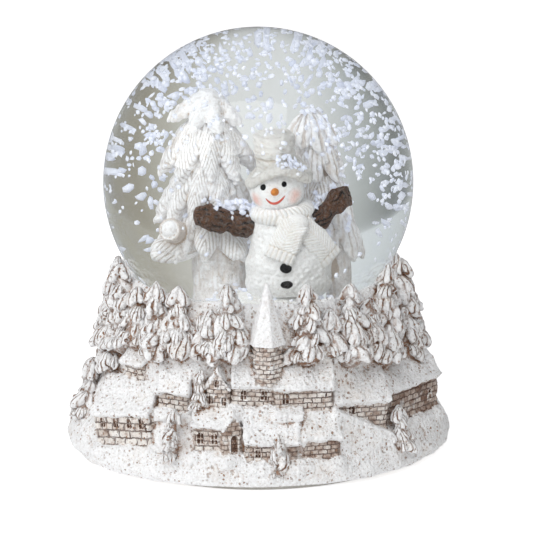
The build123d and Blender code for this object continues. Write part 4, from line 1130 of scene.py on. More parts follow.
def crown(X, Y, Z):
    zc = np.clip((Z - 72.0) / 8.0, 0, 1)
    cx = 3.5 - 0.45 * zc
    cy = -4.3 + 0.5 * zc
    rad = 3.75 + 0.45 * zc + 0.15 * np.exp(-((Z - 76.0) / 0.5) ** 2)
    q = np.sqrt((X - cx) ** 2 + (Y - cy) ** 2)
    top = Z - (79.6 + 0.03 * (X - 3) + 0.25 * np.clip(q / 4, 0, 1) ** 3)
    a, b = q - rad + 0.6, top + 0.6
    d = np.sqrt(np.maximum(a, 0) ** 2 + np.maximum(b, 0) ** 2) + np.minimum(np.maximum(a, b), 0) - 0.6
    d = np.maximum(d, 71.0 - Z)
    line = np.clip(1 - np.abs(Z - 75.2) / 0.28, 0, 1) + 0.5 * np.clip(1 - np.abs(Z - 76.7) / 0.25, 0, 1)
    return d + 0.16 * line + 0.16 * waves(X, Y, Z * 2.0, 2.2, 9, 5) + 0.07 * waves(X, Y, Z * 2.5, 1.0, 10, 5), 0.5 * line + 0 * d


F.add((-5, -14, 66), (14, 5, 83), crown, k=0, kind=4)
F.add((-5, -14, 66), (14, 5, 83), brim, k=0.7, kind=4)
ellipsoid(F, (2.9, -3.9, 79.9), (2.6, 2.4, 0.5), k=0.6, kind=4, paint=0.0)


def head_in(X, Y, Z):
    x, y, z = (X - 3.7) / 5.38, (Y + 4.7) / 4.93, (Z - 68.8) / 4.88
    return (np.sqrt(x * x + y * y + z * z) - 1) * 5.0, None


F.cut((-3, -11, 63), (10, 2, 74.5), head_in, k=0)
field_piece("snowman_hat", F, "root", M_HAT, cav_mm=(0.6, 2.0))

# --- knitted scarf
F = Field((-3.4, -15.4, 51.0), (18.8, 3.5, 68.0), HB, 6)


def knit(a, b, step, wide):
    """Herringbone stitches: a along the cloth, b across from its middle."""
    v = np.abs(b) / wide
    s = np.cos((a / step + v * 1.25) * 2 * math.pi)
    return s, np.clip(1 - np.abs(v - 0.5) * 0.3, 0, 1)


def collar(X, Y, Z):
    x, y = X - 4.6, Y + 4.7
    q = np.sqrt(x * x + y * y)
    ph = np.arctan2(x, -y)
    zc = 64.2 + 0.07 * x - 0.25 * np.cos(ph)
    a, b = (q - 4.75), (Z - zc)
    d = np.sqrt(a * a + (b * 1.02) ** 2) - 1.72
    b2 = np.arctan2(b, a + 0.01)
    s = np.cos(ph * 37.0 + np.abs(b2 - 0.3) * 4.0 + 0.8 * waves(X, Y, Z, 2.5, 31, 3))
    g = np.clip(-s * 1.5 - 0.2, 0, 1)
    return d + 0.15 * g - 0.04 * s + 0.10 * waves(X, Y, Z, 3.0, 33, 3), 0.16 * g


F.add((-4, -16, 60), (14, 5, 68), collar, k=0.2, kind=6)


def strip(c, l, n, half_l, half_w, half_t, fringe, seed, bend=0.0, ribs=9):
    c, l = np.array(c, float), unit(l)
    n = np.array(n, float)
    n = unit(n - l * n.dot(l))
    w = np.cross(n, l)
    ext = np.abs(l) * (half_l + 1.5) + np.abs(w) * (half_w + 1.2) + np.abs(n) * (half_t + abs(bend) + 1.5)

    def g(X, Y, Z):
        x, y, z = X - f4(c[0]), Y - f4(c[1]), Z - f4(c[2])
        pl = x * l[0] + y * l[1] + z * l[2]
        pw = x * w[0] + y * w[1] + z * w[2]
        pn = x * n[0] + y * n[1] + z * n[2] + bend * (pl / half_l) ** 2 + 0.05 * pw ** 2
        isf = pl > half_l - fringe
        hw = half_w * np.where(isf, 1.04, 1 + 0.06 * np.sin(pl * 1.2 + seed))
        a, b, e = np.abs(pl) - half_l + 0.5, np.abs(pw) - hw + 0.5, np.abs(pn) - half_t + 0.5
        d = np.sqrt(np.maximum(a, 0) ** 2 + np.maximum(b, 0) ** 2 + np.maximum(e, 0) ** 2) + np.minimum(np.maximum(a, np.maximum(b, e)), 0) - 0.5
        s = np.cos((pl / 0.72 + np.abs(pw) / 0.95) * 2 * math.pi + 1.3 * waves(X, Y, Z, 2.5, seed + 6, 3))
        gk = np.clip(-s * 1.5 - 0.25, 0, 1) + np.clip(1 - np.abs(pw) / 0.22, 0, 1) * 0.7
        gf = np.clip(-np.cos(pw * math.pi * ribs / half_w) * 1.6 - 0.2, 0, 1)
        edge = np.clip(1 - np.abs(pl - (half_l - fringe)) / 0.28, 0, 1)
        gg = np.where(isf, gf, np.clip(gk, 0, 1))
        d = d + 0.15 * gg + 0.20 * edge
        return d, np.clip(0.15 * gg + 0.2 * edge, 0, 0.4)
    F.add(c - ext, c + ext, g, k=0.15, kind=6)


strip((12.2, -8.6, 58.6), (0.62, 0.2, -0.74), (0.52, -0.80, 0.3), 5.2, 2.8, 0.8, 1.7, 2, bend=0.9, ribs=5)
strip((5.7, -12.3, 59.3), (-0.40, -0.16, -0.93), (-0.10, -1.0, 0.20), 4.5, 3.15, 0.9, 2.5, 1, bend=0.45, ribs=6)
ellipsoid(F, (8.0, -10.2, 63.2), (2.4, 1.6, 1.5), k=0.8, kind=6, paint=0.05)
field_piece("snowman_scarf", F, "root", M_SCARF, cav_mm=(0.5, 1.6))


# --- twig arms
def x_cap(X, Y, Z):
    """The slanted sawn end of the raised arm."""
    return np.maximum((X - 17.7) * 0.95 + (Z - 66.4) * 0.28 - (Y + 3.0) * 0.2, (Z - 68.4) * 0.98 + (X - 16.5) * -0.10)


def bark(F, pts, radii, seed, cap=False):
    pts = [np.array(p, float) for p in pts]
    for i in range(len(pts) - 1):
        a, b, ra, rb = pts[i], pts[i + 1], radii[i], radii[i + 1]
        L = np.linalg.norm(b - a)
        u = (b - a) / L
        R = max(ra, rb) + 1.2
        lo, hi = bbox([a - R, a + R, b - R, b + R], 0)
        s1 = unit(np.cross(u, (0.1, 0.9, 0.3)))
        s2 = np.cross(u, s1)

        def g(X, Y, Z, a=a, u=u, L=L, ra=ra, rb=rb, s1=s1, s2=s2):
            x, y, z = X - f4(a[0]), Y - f4(a[1]), Z - f4(a[2])
            tt = x * u[0] + y * u[1] + z * u[2]
            t_ = np.clip(tt, 0, L)
            d = np.sqrt((x - t_ * u[0]) ** 2 + (y - t_ * u[1]) ** 2 + (z - t_ * u[2]) ** 2) - (ra + (rb - ra) * t_ / L)
            th = np.arctan2(x * s1[0] + y * s1[1] + z * s1[2], x * s2[0] + y * s2[1] + z * s2[2])
            w1 = np.cos(th * 10 + 2.2 * waves(X, Y, Z, 3.0, seed, 4)) * np.clip(0.6 + 0.6 * waves(X, Y, Z, 2.0, seed + 8, 3), 0.1, 1)
            gr = np.clip(w1 * 1.3 - 0.25, 0, 1)
            d = d + 0.24 * gr + 0.34 * waves(X, Y, Z, 3.4, seed + 3, 3)
            if cap:
                d = np.maximum(d, x_cap(X, Y, Z))
            return d, 0.95 * gr
        F.add(lo, hi, g, k=0.5, kind=7)


F = Field((-15.2, -9.2, 57.0), (3.0, -0.4, 67.6), 0.13, 7)
bark(F, [(-0.6, -4.4, 61.4), (-3.0, -4.7, 61.7), (-5.8, -4.9, 62.4), (-8.2, -4.9, 62.6), (-10.2, -4.9, 63.1)], [2.2, 2.6, 1.9, 2.5, 2.55], 3)
ellipsoid(F, (-9.6, -6.3, 62.4), (1.7, 1.0, 1.5), k=0.7, kind=7, paint=0.3)
ellipsoid(F, (-3.4, -6.2, 61.9), (1.2, 0.8, 1.0), k=0.6, kind=7, paint=0.3)
roughen(F, 0.05, 0.8, 7, band=0.9)
field_piece("twig_left", F, "root", M_BARK, nodes=("twig_arm_left",), cav_mm=(0.5, 1.6))
F = Field((7.0, -7.2, 57.0), (21.6, 1.6, 72.0), 0.13, 7)
bark(F, [(9.6, -3.2, 60.4), (12.2, -3.1, 62.6), (15.2, -3.0, 65.4), (18.6, -2.9, 68.0)], [1.5, 1.9, 2.2, 2.5], 8, cap=True)
roughen(F, 0.05, 0.8, 9, band=0.9)
field_piece("twig_right", F, "root", M_BARK, nodes=("twig_arm_right",), cav_mm=(0.5, 1.6))


# --- face and buttons
def dome(name, c, n, rx, rz, t, mat, seed=0, wob=0.0, seg=28, rings=9, point=0.0):
    """A low rounded bead set on a surface, with its back sunk in."""
    c, n = np.array(c, float), unit(n)
    s1 = unit(np.cross((0, 0, 1), n))
    s2 = np.cross(n, s1)
    vs, fs = [], []
    rr = np.random.RandomState(seed)
    w1, w2 = rr.uniform(0, 6.28, 2)
    for i in range(rings + 1):
        a = math.pi * (i + 0.02) / (rings + 0.04)
        for j in range(seg):
            b = 2 * math.pi * j / seg
            k = 1 + wob * (math.sin(2 * b + w1) + 0.7 * math.sin(3 * b + w2) + 0.4 * math.sin(5 * b + w1))
            h = math.cos(a) * t * (1 + point * max(0, math.cos(a)) ** 3)
            vs.append(c + s1 * (math.sin(a) * math.cos(b) * rx * k) + s2 * (math.sin(a) * math.sin(b) * rz * k) + n * h)
    for i in range(rings):
        for j in range(seg):
            fs.append((i * seg + j, (i + 1) * seg + j, (i + 1) * seg + (j + 1) % seg, i * seg + (j + 1) % seg))
    top, bot = len(vs), len(vs) + 1
    vs.append(c + n * t * (1 + point))
    vs.append(c - n * t)
    me = bpy.data.meshes.new(name)
    tri = [(top, j, (j + 1) % seg) for j in range(seg)] + [(bot, rings * seg + (j + 1) % seg, rings * seg + j) for j in range(seg)]
    me.from_pydata([tuple(v * 0.001) for v in vs], [], fs + tri)
    me.polygons.foreach_set("use_smooth", [True] * len(me.polygons))
    me.materials.append(mat)
    ob = bpy.data.objects.new(name, me)
    bpy.context.scene.collection.objects.link(ob)
    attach(ob, "root")
    return ob


M_BLACK = simple_paint("black_bead_paint", srgb(10, 10, 13), 0.3, 0.2, spec=0.12)
M_ORANGE = simple_paint("carrot_paint", srgb(238, 148, 60), 0.45, 0.22)
M_RED = simple_paint("smile_paint", srgb(222, 98, 80), 0.45, 0.15)
for nm, x, z, rr_ in (("eye_left", 1.0, 70.0, 0.62), ("eye_right", 5.3, 70.7, 0.56)):
    y = head_y(x, z)
    nn = unit(((x - 3.7) / 5.5 ** 2, (y + 4.7) / 5.05 ** 2, (z - 68.8) / 5.0 ** 2))
    dome(nm, (x, y, z), nn, rr_, rr_ * 1.06, 0.3, M_BLACK, wob=0.03, seed=int(x * 7))
y = head_y(3.4, 69.3)
dome("carrot_nose", (3.4, y - 0.25, 69.25), (-0.1, -1.0, 0.06), 0.86, 0.8, 0.8, M_ORANGE, seed=4, wob=0.03, point=0.5)
for nm, x, z, sd in (("button_upper", 5.75, 53.6, 3), ("button_lower", 5.95, 49.9, 5)):
    y = body_y(x, z)
    nn = unit(((x - 5.95) / 8.35 ** 2, (y + 4.4) / 8.0 ** 2, (z - 53.2) / 7.4 ** 2))
    dome(nm, (x, y - 0.02, z), nn, 1.28, 1.14 if sd == 3 else 1.0, 0.5, M_BLACK, seed=sd, wob=0.025)

# smile: a painted raised stroke on the face
P0, P1, P2 = (1.55, 67.75), (3.3, 65.35), (5.45, 68.35)
vs, fs, seg, steps = [], [], 10, 34
for i in range(steps + 1):
    t_ = i / steps
    x = (1 - t_) ** 2 * P0[0] + 2 * t_ * (1 - t_) * P1[0] + t_ ** 2 * P2[0]
    z = (1 - t_) ** 2 * P0[1] + 2 * t_ * (1 - t_) * P1[1] + t_ ** 2 * P2[1]
    dx = 2 * (1 - t_) * (P1[0] - P0[0]) + 2 * t_ * (P2[0] - P1[0])
    dz = 2 * (1 - t_) * (P1[1] - P0[1]) + 2 * t_ * (P2[1] - P1[1])
    y = head_y(x, z)
    nn = unit(((x - 3.7) / 5.5 ** 2, (y + 4.7) / 5.05 ** 2, (z - 68.8) / 5.0 ** 2))
    tg = unit((dx, 0, dz))
    tg = unit(tg - nn * tg.dot(nn))
    sd = np.cross(tg, nn)
    wr = 0.30 * math.sin(math.pi * min(max(t_, 0.03), 0.97)) ** 0.45
    for j in range(seg):
        b = 2 * math.pi * j / seg
        vs.append(tuple((np.array([x, y, z]) + sd * math.cos(b) * wr + nn * math.sin(b) * wr * 0.55) * 0.001))
for i in range(steps):
    for j in range(seg):
        fs.append((i * seg + j, i * seg + (j + 1) % seg, (i + 1) * seg + (j + 1) % seg, (i + 1) * seg + j))
fs.append(tuple(range(seg))[::-1])
fs.append(tuple(steps * seg + j for j in range(seg)))
me = bpy.data.meshes.new("painted_smile")
me.from_pydata(vs, [], fs)
me.polygons.foreach_set("use_smooth", [True] * len(me.polygons))
me.materials.append(M_RED)
ob = bpy.data.objects.new("painted_smile", me)
bpy.context.scene.collection.objects.link(ob)
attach(ob, "root")
log("figure")

# ------------------------------------------------------------------ flakes
ICO_V, ICO_F = [], []
phi = (1 + 5 ** 0.5) / 2
for a, b in ((-1, phi), (1, phi), (-1, -phi), (1, -phi)):
    ICO_V.append((a, b, 0))
for a, b in ((-1, phi), (1, phi), (-1, -phi), (1, -phi)):
    ICO_V.append((0, a, b))
for a, b in ((phi, -1), (phi, 1), (-phi, -1), (-phi, 1)):
    ICO_V.append((a, 0, b))
ICO_V = np.array(ICO_V) / math.hypot(1, phi)
ICO_F = np.array([(0, 11, 5), (0, 5, 1), (0, 1, 7), (0, 7, 10), (0, 10, 11), (1, 5, 9), (5, 11, 4), (11, 10, 2), (10, 7, 6), (7, 1, 8), (3, 9, 4), (3, 4, 2), (3, 2, 6), (3, 6, 8), (3, 8, 9), (4, 9, 5),
                  (2, 4, 11), (6, 2, 10), (8, 6, 7), (9, 8, 1)])


def chips(centres, sizes, seed):
    """Angular shaved flakes: squashed, jittered twelve-point solids."""
    r = np.random.RandomState(seed)
    vs, fs = [], []
    for i, (c, s) in enumerate(zip(centres, sizes)):
        v = ICO_V * (1 + r.uniform(-0.26, 0.26, (12, 1))) + r.uniform(-0.14, 0.14, (12, 3))
        v = v * np.array([r.uniform(0.8, 1.25), r.uniform(0.62, 1.0), r.uniform(0.38, 0.7)]) * s * 0.5
        q, _ = np.linalg.qr(r.normal(size=(3, 3)))
        if np.linalg.det(q) < 0:
            q[:, 0] *= -1
        vs.append(v @ q.T + np.array(c))
        fs.append(ICO_F + 12 * i)
    return np.concatenate(vs), np.concatenate(fs)


mf = Mat("shaved_flake")
fcol = mf.mix(mf.span(mf.noise(420.0, 2.0), 0.35, 0.65), srgb(250, 251, 255), srgb(226, 230, 242))
# Painted light: the flakes give off a faint blue-white glow, though they are no lamps.
fp = mf.principled(fcol, 0.5, mf.bump(mf.noise(2600.0, 3.0), 0.00012, 0.6), Specular_IOR_Level=0.35, Emission_Color=(0.86, 0.90, 1.0, 1), Emission_Strength=0.22)
ftr = mf.node("ShaderNodeBsdfTranslucent", Color=(0.9, 0.93, 1.0, 1))
fmx = mf.node("ShaderNodeMixShader", i0=0.3)
mf.t.links.new(fp, fmx.inputs[1])
mf.t.links.new(ftr.outputs[0], fmx.inputs[2])
M_FLAKE = mf.finish(fmx.outputs[0])


def swept_r(z):
    return 23.6 if z < 62 else 22.4 if z < 75 else 19.4 if z < 80.5 else 15.8 if z < 84 else 13.4 if z < 88.2 else 0.0


r = np.random.RandomState(19)
spots, sizes = [], []
clumps = [(r.uniform(-180, 180), r.uniform(52, 102), r.uniform(1.6, 4.2)) for _ in range(90)]
tries = 0
CLOUD = [((-9.0, 9.0, 95.5), (11.0, 12.0, 3.6)), ((4.0, 15.0, 93.0), (10.0, 9.0, 4.0)), ((-17.0, 14.0, 88.0), (5.0, 6.0, 4.5)), ((18.0, 12.0, 86.0), (5.0, 6.0, 6.0)), ((26.0, 8.0, 70.0), (4.0, 9.0, 8.0)), ((0.0, 27.0, 78.0), (12.0, 3.5, 8.0))]
while len(spots) < 1480 and tries < 160000:
    tries += 1
    if r.uniform() < 0.42:
        (x0_, y0_, z0_), (sx_, sy_, sz_) = CLOUD[r.randint(len(CLOUD))]
        x, y, z = x0_ + r.normal() * sx_, y0_ + r.normal() * sy_, z0_ + r.normal() * sz_
    elif r.uniform() < 0.5:
        th0, z0, sp = clumps[r.randint(len(clumps))]
        q0 = 30.0
        x = q0 * math.sin(math.radians(th0)) + r.normal() * sp
        y = -q0 * math.cos(math.radians(th0)) + r.normal() * sp
        z = z0 + r.normal() * sp
    else:
        x, y, z = r.uniform(-36, 36), r.uniform(-36, 36), r.uniform(47, 105)
    s = r.uniform(0.95, 1.6)
    q = math.hypot(x, y)
    if math.hypot(q, z - GLOBE_Z) > 37.2 - s * 0.6 or q < swept_r(z) + 0.8 or (z < 50 and q > 20):
        continue
    th = math.degrees(math.atan2(x, -y))
    if 30 < th < 66 and 58 < z < 74 and q < 36:
        continue
    if -75 < th < -36 and z < 76 and r.uniform() < 0.72:
        continue
    if abs(th) < 36 and z < 82 and (r.uniform() < 0.985 or 62 < z < 79):
        continue
    if z < 60 and r.uniform() < 0.5:
        continue
    if any(abs(x - a[0]) < 0.9 and abs(y - a[1]) < 0.9 and abs(z - a[2]) < 0.9 for a in spots):
        continue
    spots.append((x, y, z))
    sizes.append(s)
v, f = chips(spots, sizes, 5)
mesh_piece("drifting_flakes", v, f, "fluid", M_FLAKE, smooth=False, nodes=("snow_flakes",))
log(len(spots), "flakes drift")

# ------------------------------------------------------------------ settled flakes
from mathutils.bvhtree import BVHTree


def tree_of(*names):
    vs, fs = [], []
    for n in names:
        me = bpy.data.objects[n].data
        co = np.empty(len(me.vertices) * 3, np.float32)
        me.vertices.foreach_get("co", co)
        base = len(vs)
        vs.extend((co.reshape(-1, 3) * 1000).tolist())
        fs.extend([[i + base for i in p.vertices] for p in me.polygons])
    return BVHTree.FromPolygons(vs, fs)


def settle(bvh, n, draw, seed, size=(0.9, 1.6), sink=0.12, zmin=40, zmax=110, flat=0.25):
    rr = np.random.RandomState(seed)
    out, sz = [], []
    tries = 0
    while len(out) < n and tries < n * 30:
        tries += 1
        x, y, ztop = draw(rr)
        hit, nor, _, _ = bvh.ray_cast(Vector((x, y, ztop)), Vector((0, 0, -1)))
        if hit is None or nor.z < flat or not zmin < hit.z < zmax:
            continue
        s = rr.uniform(*size)
        stack = sum(1 for a in out if abs(a[0] - x) < 0.9 and abs(a[1] - y) < 0.9)
        if stack > 2:
            continue
        out.append((x, y, hit.z + s * 0.28 - sink + stack * 0.8))
        sz.append(s)
    return out, sz


rest_c, rest_s = [], []
jobs = [
    (("twig_left",), 46, lambda q: (-0.4 - abs(q.normal()) * 2.9, -4.9 + q.uniform(-1.7, 1.3), 70.0), 1, (0.9, 1.55), 57, 70, 0.2),
    (("twig_left",), 12, lambda q: (q.uniform(-11.5, -4.0), -4.9 + q.uniform(-1.5, 1.5), 70.0), 2, (0.8, 1.3), 57, 70, 0.2),
    (("twig_right",), 14, lambda q: (q.uniform(9.8, 12.8), -3.0 + q.uniform(-1.9, 1.4), 74.0), 3, (0.9, 1.5), 57, 74, 0.1),
    (("snowman_hat",), 30, lambda q: (4.6 + q.uniform(-0.8, 6.2), -4.7 - q.uniform(2.4, 6.2), 76.5), 4, (0.8, 1.4), 68, 76.5, 0.15),
    (("snowman_hat",), 6, lambda q: (q.uniform(0.5, 5.5), q.uniform(-6, -2), 90.0), 5, (0.7, 1.1), 78, 90, 0.3),
    (("fir_right",), 60, lambda q: (q.uniform(8.5, 17.0), q.uniform(-0.2, 6.0), q.uniform(62, 84)), 6, (0.9, 1.6), 56, 84, 0.15),
    (("fir_left",), 34, lambda q: (q.uniform(-19, 0), q.uniform(-2.5, 12), q.uniform(60, 90)), 7, (0.8, 1.4), 54, 88, 0.25),
    (("snow_ground",), 110, lambda q: (q.uniform(-15.5, 15.5), q.uniform(-15.5, 15.5), 60.0), 8, (0.9, 1.6), 44, 52, 0.5),
]
for names, n, draw, seed, size, z0, z1, flat in jobs:
    a, b = settle(tree_of(*names), n, draw, seed, size, zmin=z0, zmax=z1, flat=flat)
    rest_c += a
    rest_s += b
v, f = chips(rest_c, rest_s, 8)
mesh_piece("settled_flakes_fine", v, f, "root", M_FLAKE, smooth=False, nodes=("settled_flakes",))
log(len(rest_c), "flakes settled")


# ------------------------------------------------------------------ glass ball, liquid
def lathe(profile, seg):
    """Closed loop of (r, z, group) turned about Z. Points with r under 0.001 are poles."""
    vs, fs, fm, rows = [], [], [], []
    for r_, z_, _ in profile:
        if r_ < 1e-3:
            rows.append([len(vs)] * seg)
            vs.append((0, 0, z_))
        else:
            rows.append(list(range(len(vs), len(vs) + seg)))
            vs.extend((r_ * math.cos(2 * math.pi * k / seg), r_ * math.sin(2 * math.pi * k / seg), z_) for k in range(seg))
    for i in range(len(profile) - 1):
        a, b = rows[i], rows[i + 1]
        for k in range(seg):
            q = [a[k], b[k], b[(k + 1) % seg], a[(k + 1) % seg]]
            q = [q[j] for j in range(4) if q[j] != q[j - 1]]
            if len(q) >= 3:
                fs.append(q)
                fm.append(profile[i][2])
    return vs, fs, fm


def lathe_piece(name, profile, seg, body, mats, nodes):
    vs, fs, fm = lathe(profile, seg)
    me = bpy.data.meshes.new(name)
    me.from_pydata([tuple(c * 0.001 for c in v_) for v_ in vs], [], fs)
    me.polygons.foreach_set("use_smooth", [True] * len(me.polygons))
    for m_ in mats:
        me.materials.append(m_)
    me.polygons.foreach_set("material_index", fm)
    me.update()
    ob_ = bpy.data.objects.new(name, me)
    bpy.context.scene.collection.objects.link(ob_)
    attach(ob_, body)
    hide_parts(*nodes)
    return ob_


SEG = 224
RI = 38.0
prof = []
a0 = math.asin(25.0 / 40.0)
for i in range(97):
    a = (math.pi - a0) * i / 96
    prof.append((40.0 * math.sin(a), GLOBE_Z + 40.0 * math.cos(a), 0))
prof[0] = (0.0, GLOBE_Z + 40.0, 0)
zj = prof[-1][1]
prof += [(25.0, zj - 0.6, 0), (25.0, 30.2, 0), (25.25, 29.8, 0), (25.9, 29.5, 0), (26.3, 29.0, 0), (26.4, 28.3, 0), (26.3, 27.6, 0), (25.9, 27.15, 0), (25.3, 27.0, 0), (23.7, 27.0, 0), (23.2, 27.15, 0), (23.0, 27.6, 1)]
b0 = math.asin(23.0 / RI)
zi = GLOBE_Z - RI * math.cos(b0)
prof += [(23.0, 30.0, 1), (23.0, zi - 0.3, 1)]
for i in range(97):
    a = (math.pi - b0) * (1 - i / 96)
    prof.append((RI * math.sin(a), GLOBE_Z + RI * math.cos(a), 1))
prof[-1] = (0.0, GLOBE_Z + RI, 1)
M_GLASS = glass_mat("blown_glass", 1.5, (0.985, 0.992, 0.992, 1))
M_GLASS_IN = glass_mat("blown_glass_wetted", 1.5 / 1.345, (0.995, 0.997, 0.995, 1))
lathe_piece("blown_globe", prof, SEG, "root", [M_GLASS, M_GLASS_IN], ("glass_globe",))

RL = 37.93
prof = []
c0 = math.asin(22.93 / RL)
for i in range(65):
    a = (math.pi - c0) * i / 64
    prof.append((RL * math.sin(a), GLOBE_Z + RL * math.cos(a), 0))
prof[0] = (0.0, GLOBE_Z + RL, 0)
prof += [(22.93, 38.4, 0), (22.6, 38.08, 0), (0.0, 38.08, 0)]
ml = Mat("clear_liquid")
lt = ml.node("ShaderNodeBsdfTransparent")
lcol = ml.mix(ml.span(ml.noise(30.0, 2.0), 0.2, 0.8), (0.984, 0.989, 0.984, 1), (0.99, 0.993, 0.99, 1))
ml.t.links.new(lcol, lt.inputs["Color"])
ml.finish(lt.outputs[0])
lathe_piece("clear_liquid_fill", prof, 96, "fluid", [ml.m], ("globe_liquid",))
log("glass")


# ------------------------------------------------------------------ underside and hidden fittings keep their CAD shape
def repaint(node, mat):
    o = frame["nodes"][node]
    if not o.data.materials:
        o.data.materials.append(mat)
    for s_ in o.material_slots:
        s_.link = "OBJECT"
        s_.material = mat


def rubber(name, color, rough=0.6):
    m = Mat(name)
    n1 = m.noise(350.0, 4.0)
    n2 = m.noise(2400.0, 3.0)
    col = m.mix(m.span(n1, 0.3, 0.75), color, tuple(c * 0.82 for c in color[:3]) + (1.0,))
    bloom = m.span(m.noise(900.0, 2.0), 0.55, 0.8, 0.0, 0.25)
    col = m.mix(bloom, col, srgb(225, 223, 218))
    return m.finish(m.principled(col, m.span(n2, 0.2, 0.8, rough - 0.1, rough + 0.12), m.bump(n2, 0.00005, 0.6), Specular_IOR_Level=0.35))


def felt():
    m = Mat("pale_felt")
    fib = m.noise(4200.0, 5.0, 0.7, dist=1.6)
    blot = m.noise(160.0, 3.0)
    col = m.mix(m.span(fib, 0.35, 0.7), srgb(196, 193, 186), srgb(222, 220, 214))
    col = m.mix(m.span(blot, 0.35, 0.75, 0.0, 0.35), col, srgb(180, 176, 168))
    v_ = m.voronoi(2600.0)
    h = m.math("ADD", fib, m.math("MULTIPLY", v_.outputs["Distance"], 0.6))
    return m.finish(m.principled(col, 0.95, m.bump(h, 0.00025, 0.9), Sheen_Weight=0.4, Sheen_Roughness=0.5, Specular_IOR_Level=0.15))


def board():
    m = Mat("grey_cover_board")
    fib = m.noise(1400.0, 5.0, 0.65, dist=0.8)
    fleck = m.voronoi(900.0)
    col = m.mix(m.span(fib, 0.3, 0.7), srgb(150, 141, 128), srgb(176, 167, 152))
    col = m.mix(m.span(fleck.outputs["Distance"], 0.0, 0.16, 0.5, 0.0), col, srgb(112, 100, 86))
    return m.finish(m.principled(col, 0.85, m.bump(fib, 0.00008, 0.6), Specular_IOR_Level=0.2))


repaint("rubber_stopper", rubber("white_stopper_rubber", srgb(206, 204, 196)))
repaint("refill_plug", rubber("dark_plug_rubber", srgb(72, 72, 76)))
repaint("silicone_seal", rubber("clear_silicone", srgb(196, 198, 196), 0.4))
repaint("globe_bedding", rubber("clear_bedding_adhesive", srgb(222, 220, 212), 0.3))
repaint("scene_adhesive", rubber("scene_adhesive_film", srgb(214, 212, 204), 0.3))
repaint("base_cover", board())
repaint("felt_pad", felt())

# ------------------------------------------------------------------ floor, light, camera
sc = bpy.context.scene
fm = Mat("floor_paper")
fl_col = fm.mix(fm.span(fm.noise(3.0, 2.0), 0.3, 0.7), (0.93, 0.93, 0.93, 1), (0.95, 0.95, 0.95, 1))
fl_p = fm.principled(fl_col, 0.9, Specular_IOR_Level=0.1)
fl_lp = fm.node("ShaderNodeLightPath")
fl_e = fm.node("ShaderNodeEmission", Color=(1, 1, 1, 1), Strength=fm.math("ADD", 0.26, fm.math("MULTIPLY", fl_lp.outputs["Is Camera Ray"], 0.30)))
fl_a = fm.node("ShaderNodeAddShader")
fm.t.links.new(fl_p, fl_a.inputs[0])
fm.t.links.new(fl_e.outputs[0], fl_a.inputs[1])


# A light tent with tinted side panels, painted: the floor glows in these tones only for rays that came through the
# glass, the first table near and the second far off, a painted refraction image that tints and darkens the view into
# the globe. The world lights such rays with the second table.
PAINTED_REFRACTION_TONES = [(-180, (230, 232, 232)), (-92, (214, 217, 217)), (-86, (168, 172, 172)), (-80, (222, 224, 224)), (-72, (160, 165, 164)), (-50, (90, 95, 94)), (-32, (100, 104, 103)), (-17, (176, 180, 180)), (-5, (230, 232, 233)),
        (5, (228, 229, 229)), (12, (186, 183, 173)), (24, (148, 141, 125)), (46, (132, 125, 108)), (62, (148, 142, 127)), (70, (198, 199, 195)), (75, (152, 154, 150)), (81, (224, 226, 225)), (87, (172, 175, 174)), (94, (220, 222, 222)), (180, (230, 232, 232))]
SKY = [(-180, (232, 234, 235)), (-92, (222, 225, 226)), (-86, (184, 188, 190)), (-80, (230, 232, 233)), (-72, (202, 206, 208)), (-50, (198, 203, 207)), (-32, (210, 215, 219)), (-17, (222, 226, 229)), (-5, (236, 238, 240)),
       (5, (234, 235, 236)), (12, (200, 198, 192)), (24, (172, 167, 155)), (46, (156, 151, 136)), (62, (172, 168, 156)), (70, (208, 209, 206)), (75, (162, 164, 161)), (81, (228, 230, 229)), (87, (178, 181, 180)), (94, (222, 224, 224)), (180, (232, 234, 235))]


def tent(tree, vec_socket, table):
    """Colour by compass direction in the studio, 0 straight behind the object."""
    sp = tree.nodes.new("ShaderNodeSeparateXYZ")
    tree.links.new(vec_socket, sp.inputs[0])
    at = tree.nodes.new("ShaderNodeMath")
    at.operation = "ARCTAN2"
    tree.links.new(sp.outputs[0], at.inputs[0])
    tree.links.new(sp.outputs[1], at.inputs[1])
    mr = tree.nodes.new("ShaderNodeMapRange")
    mr.inputs["From Min"].default_value = -math.pi
    mr.inputs["From Max"].default_value = math.pi
    tree.links.new(at.outputs[0], mr.inputs["Value"])
    rm = tree.nodes.new("ShaderNodeValToRGB")
    while len(rm.color_ramp.elements) < len(table):
        rm.color_ramp.elements.new(0.5)
    for e, (deg, c) in zip(rm.color_ramp.elements, table):
        e.position = (deg + 180) / 360
        e.color = srgb(*c)
    tree.links.new(mr.outputs["Result"], rm.inputs["Fac"])
    return rm.outputs["Color"]


geo = fm.node("ShaderNodeNewGeometry")
t_col = tent(fm.t, geo.outputs["Position"], PAINTED_REFRACTION_TONES)
t_far = fm.node("ShaderNodeVectorMath", _operation="LENGTH")
fm.t.links.new(geo.outputs["Position"], t_far.inputs[0])
t_col = fm.mix(fm.span(t_far.outputs["Value"], 0.5, 3.5), t_col, tent(fm.t, geo.outputs["Position"], SKY))
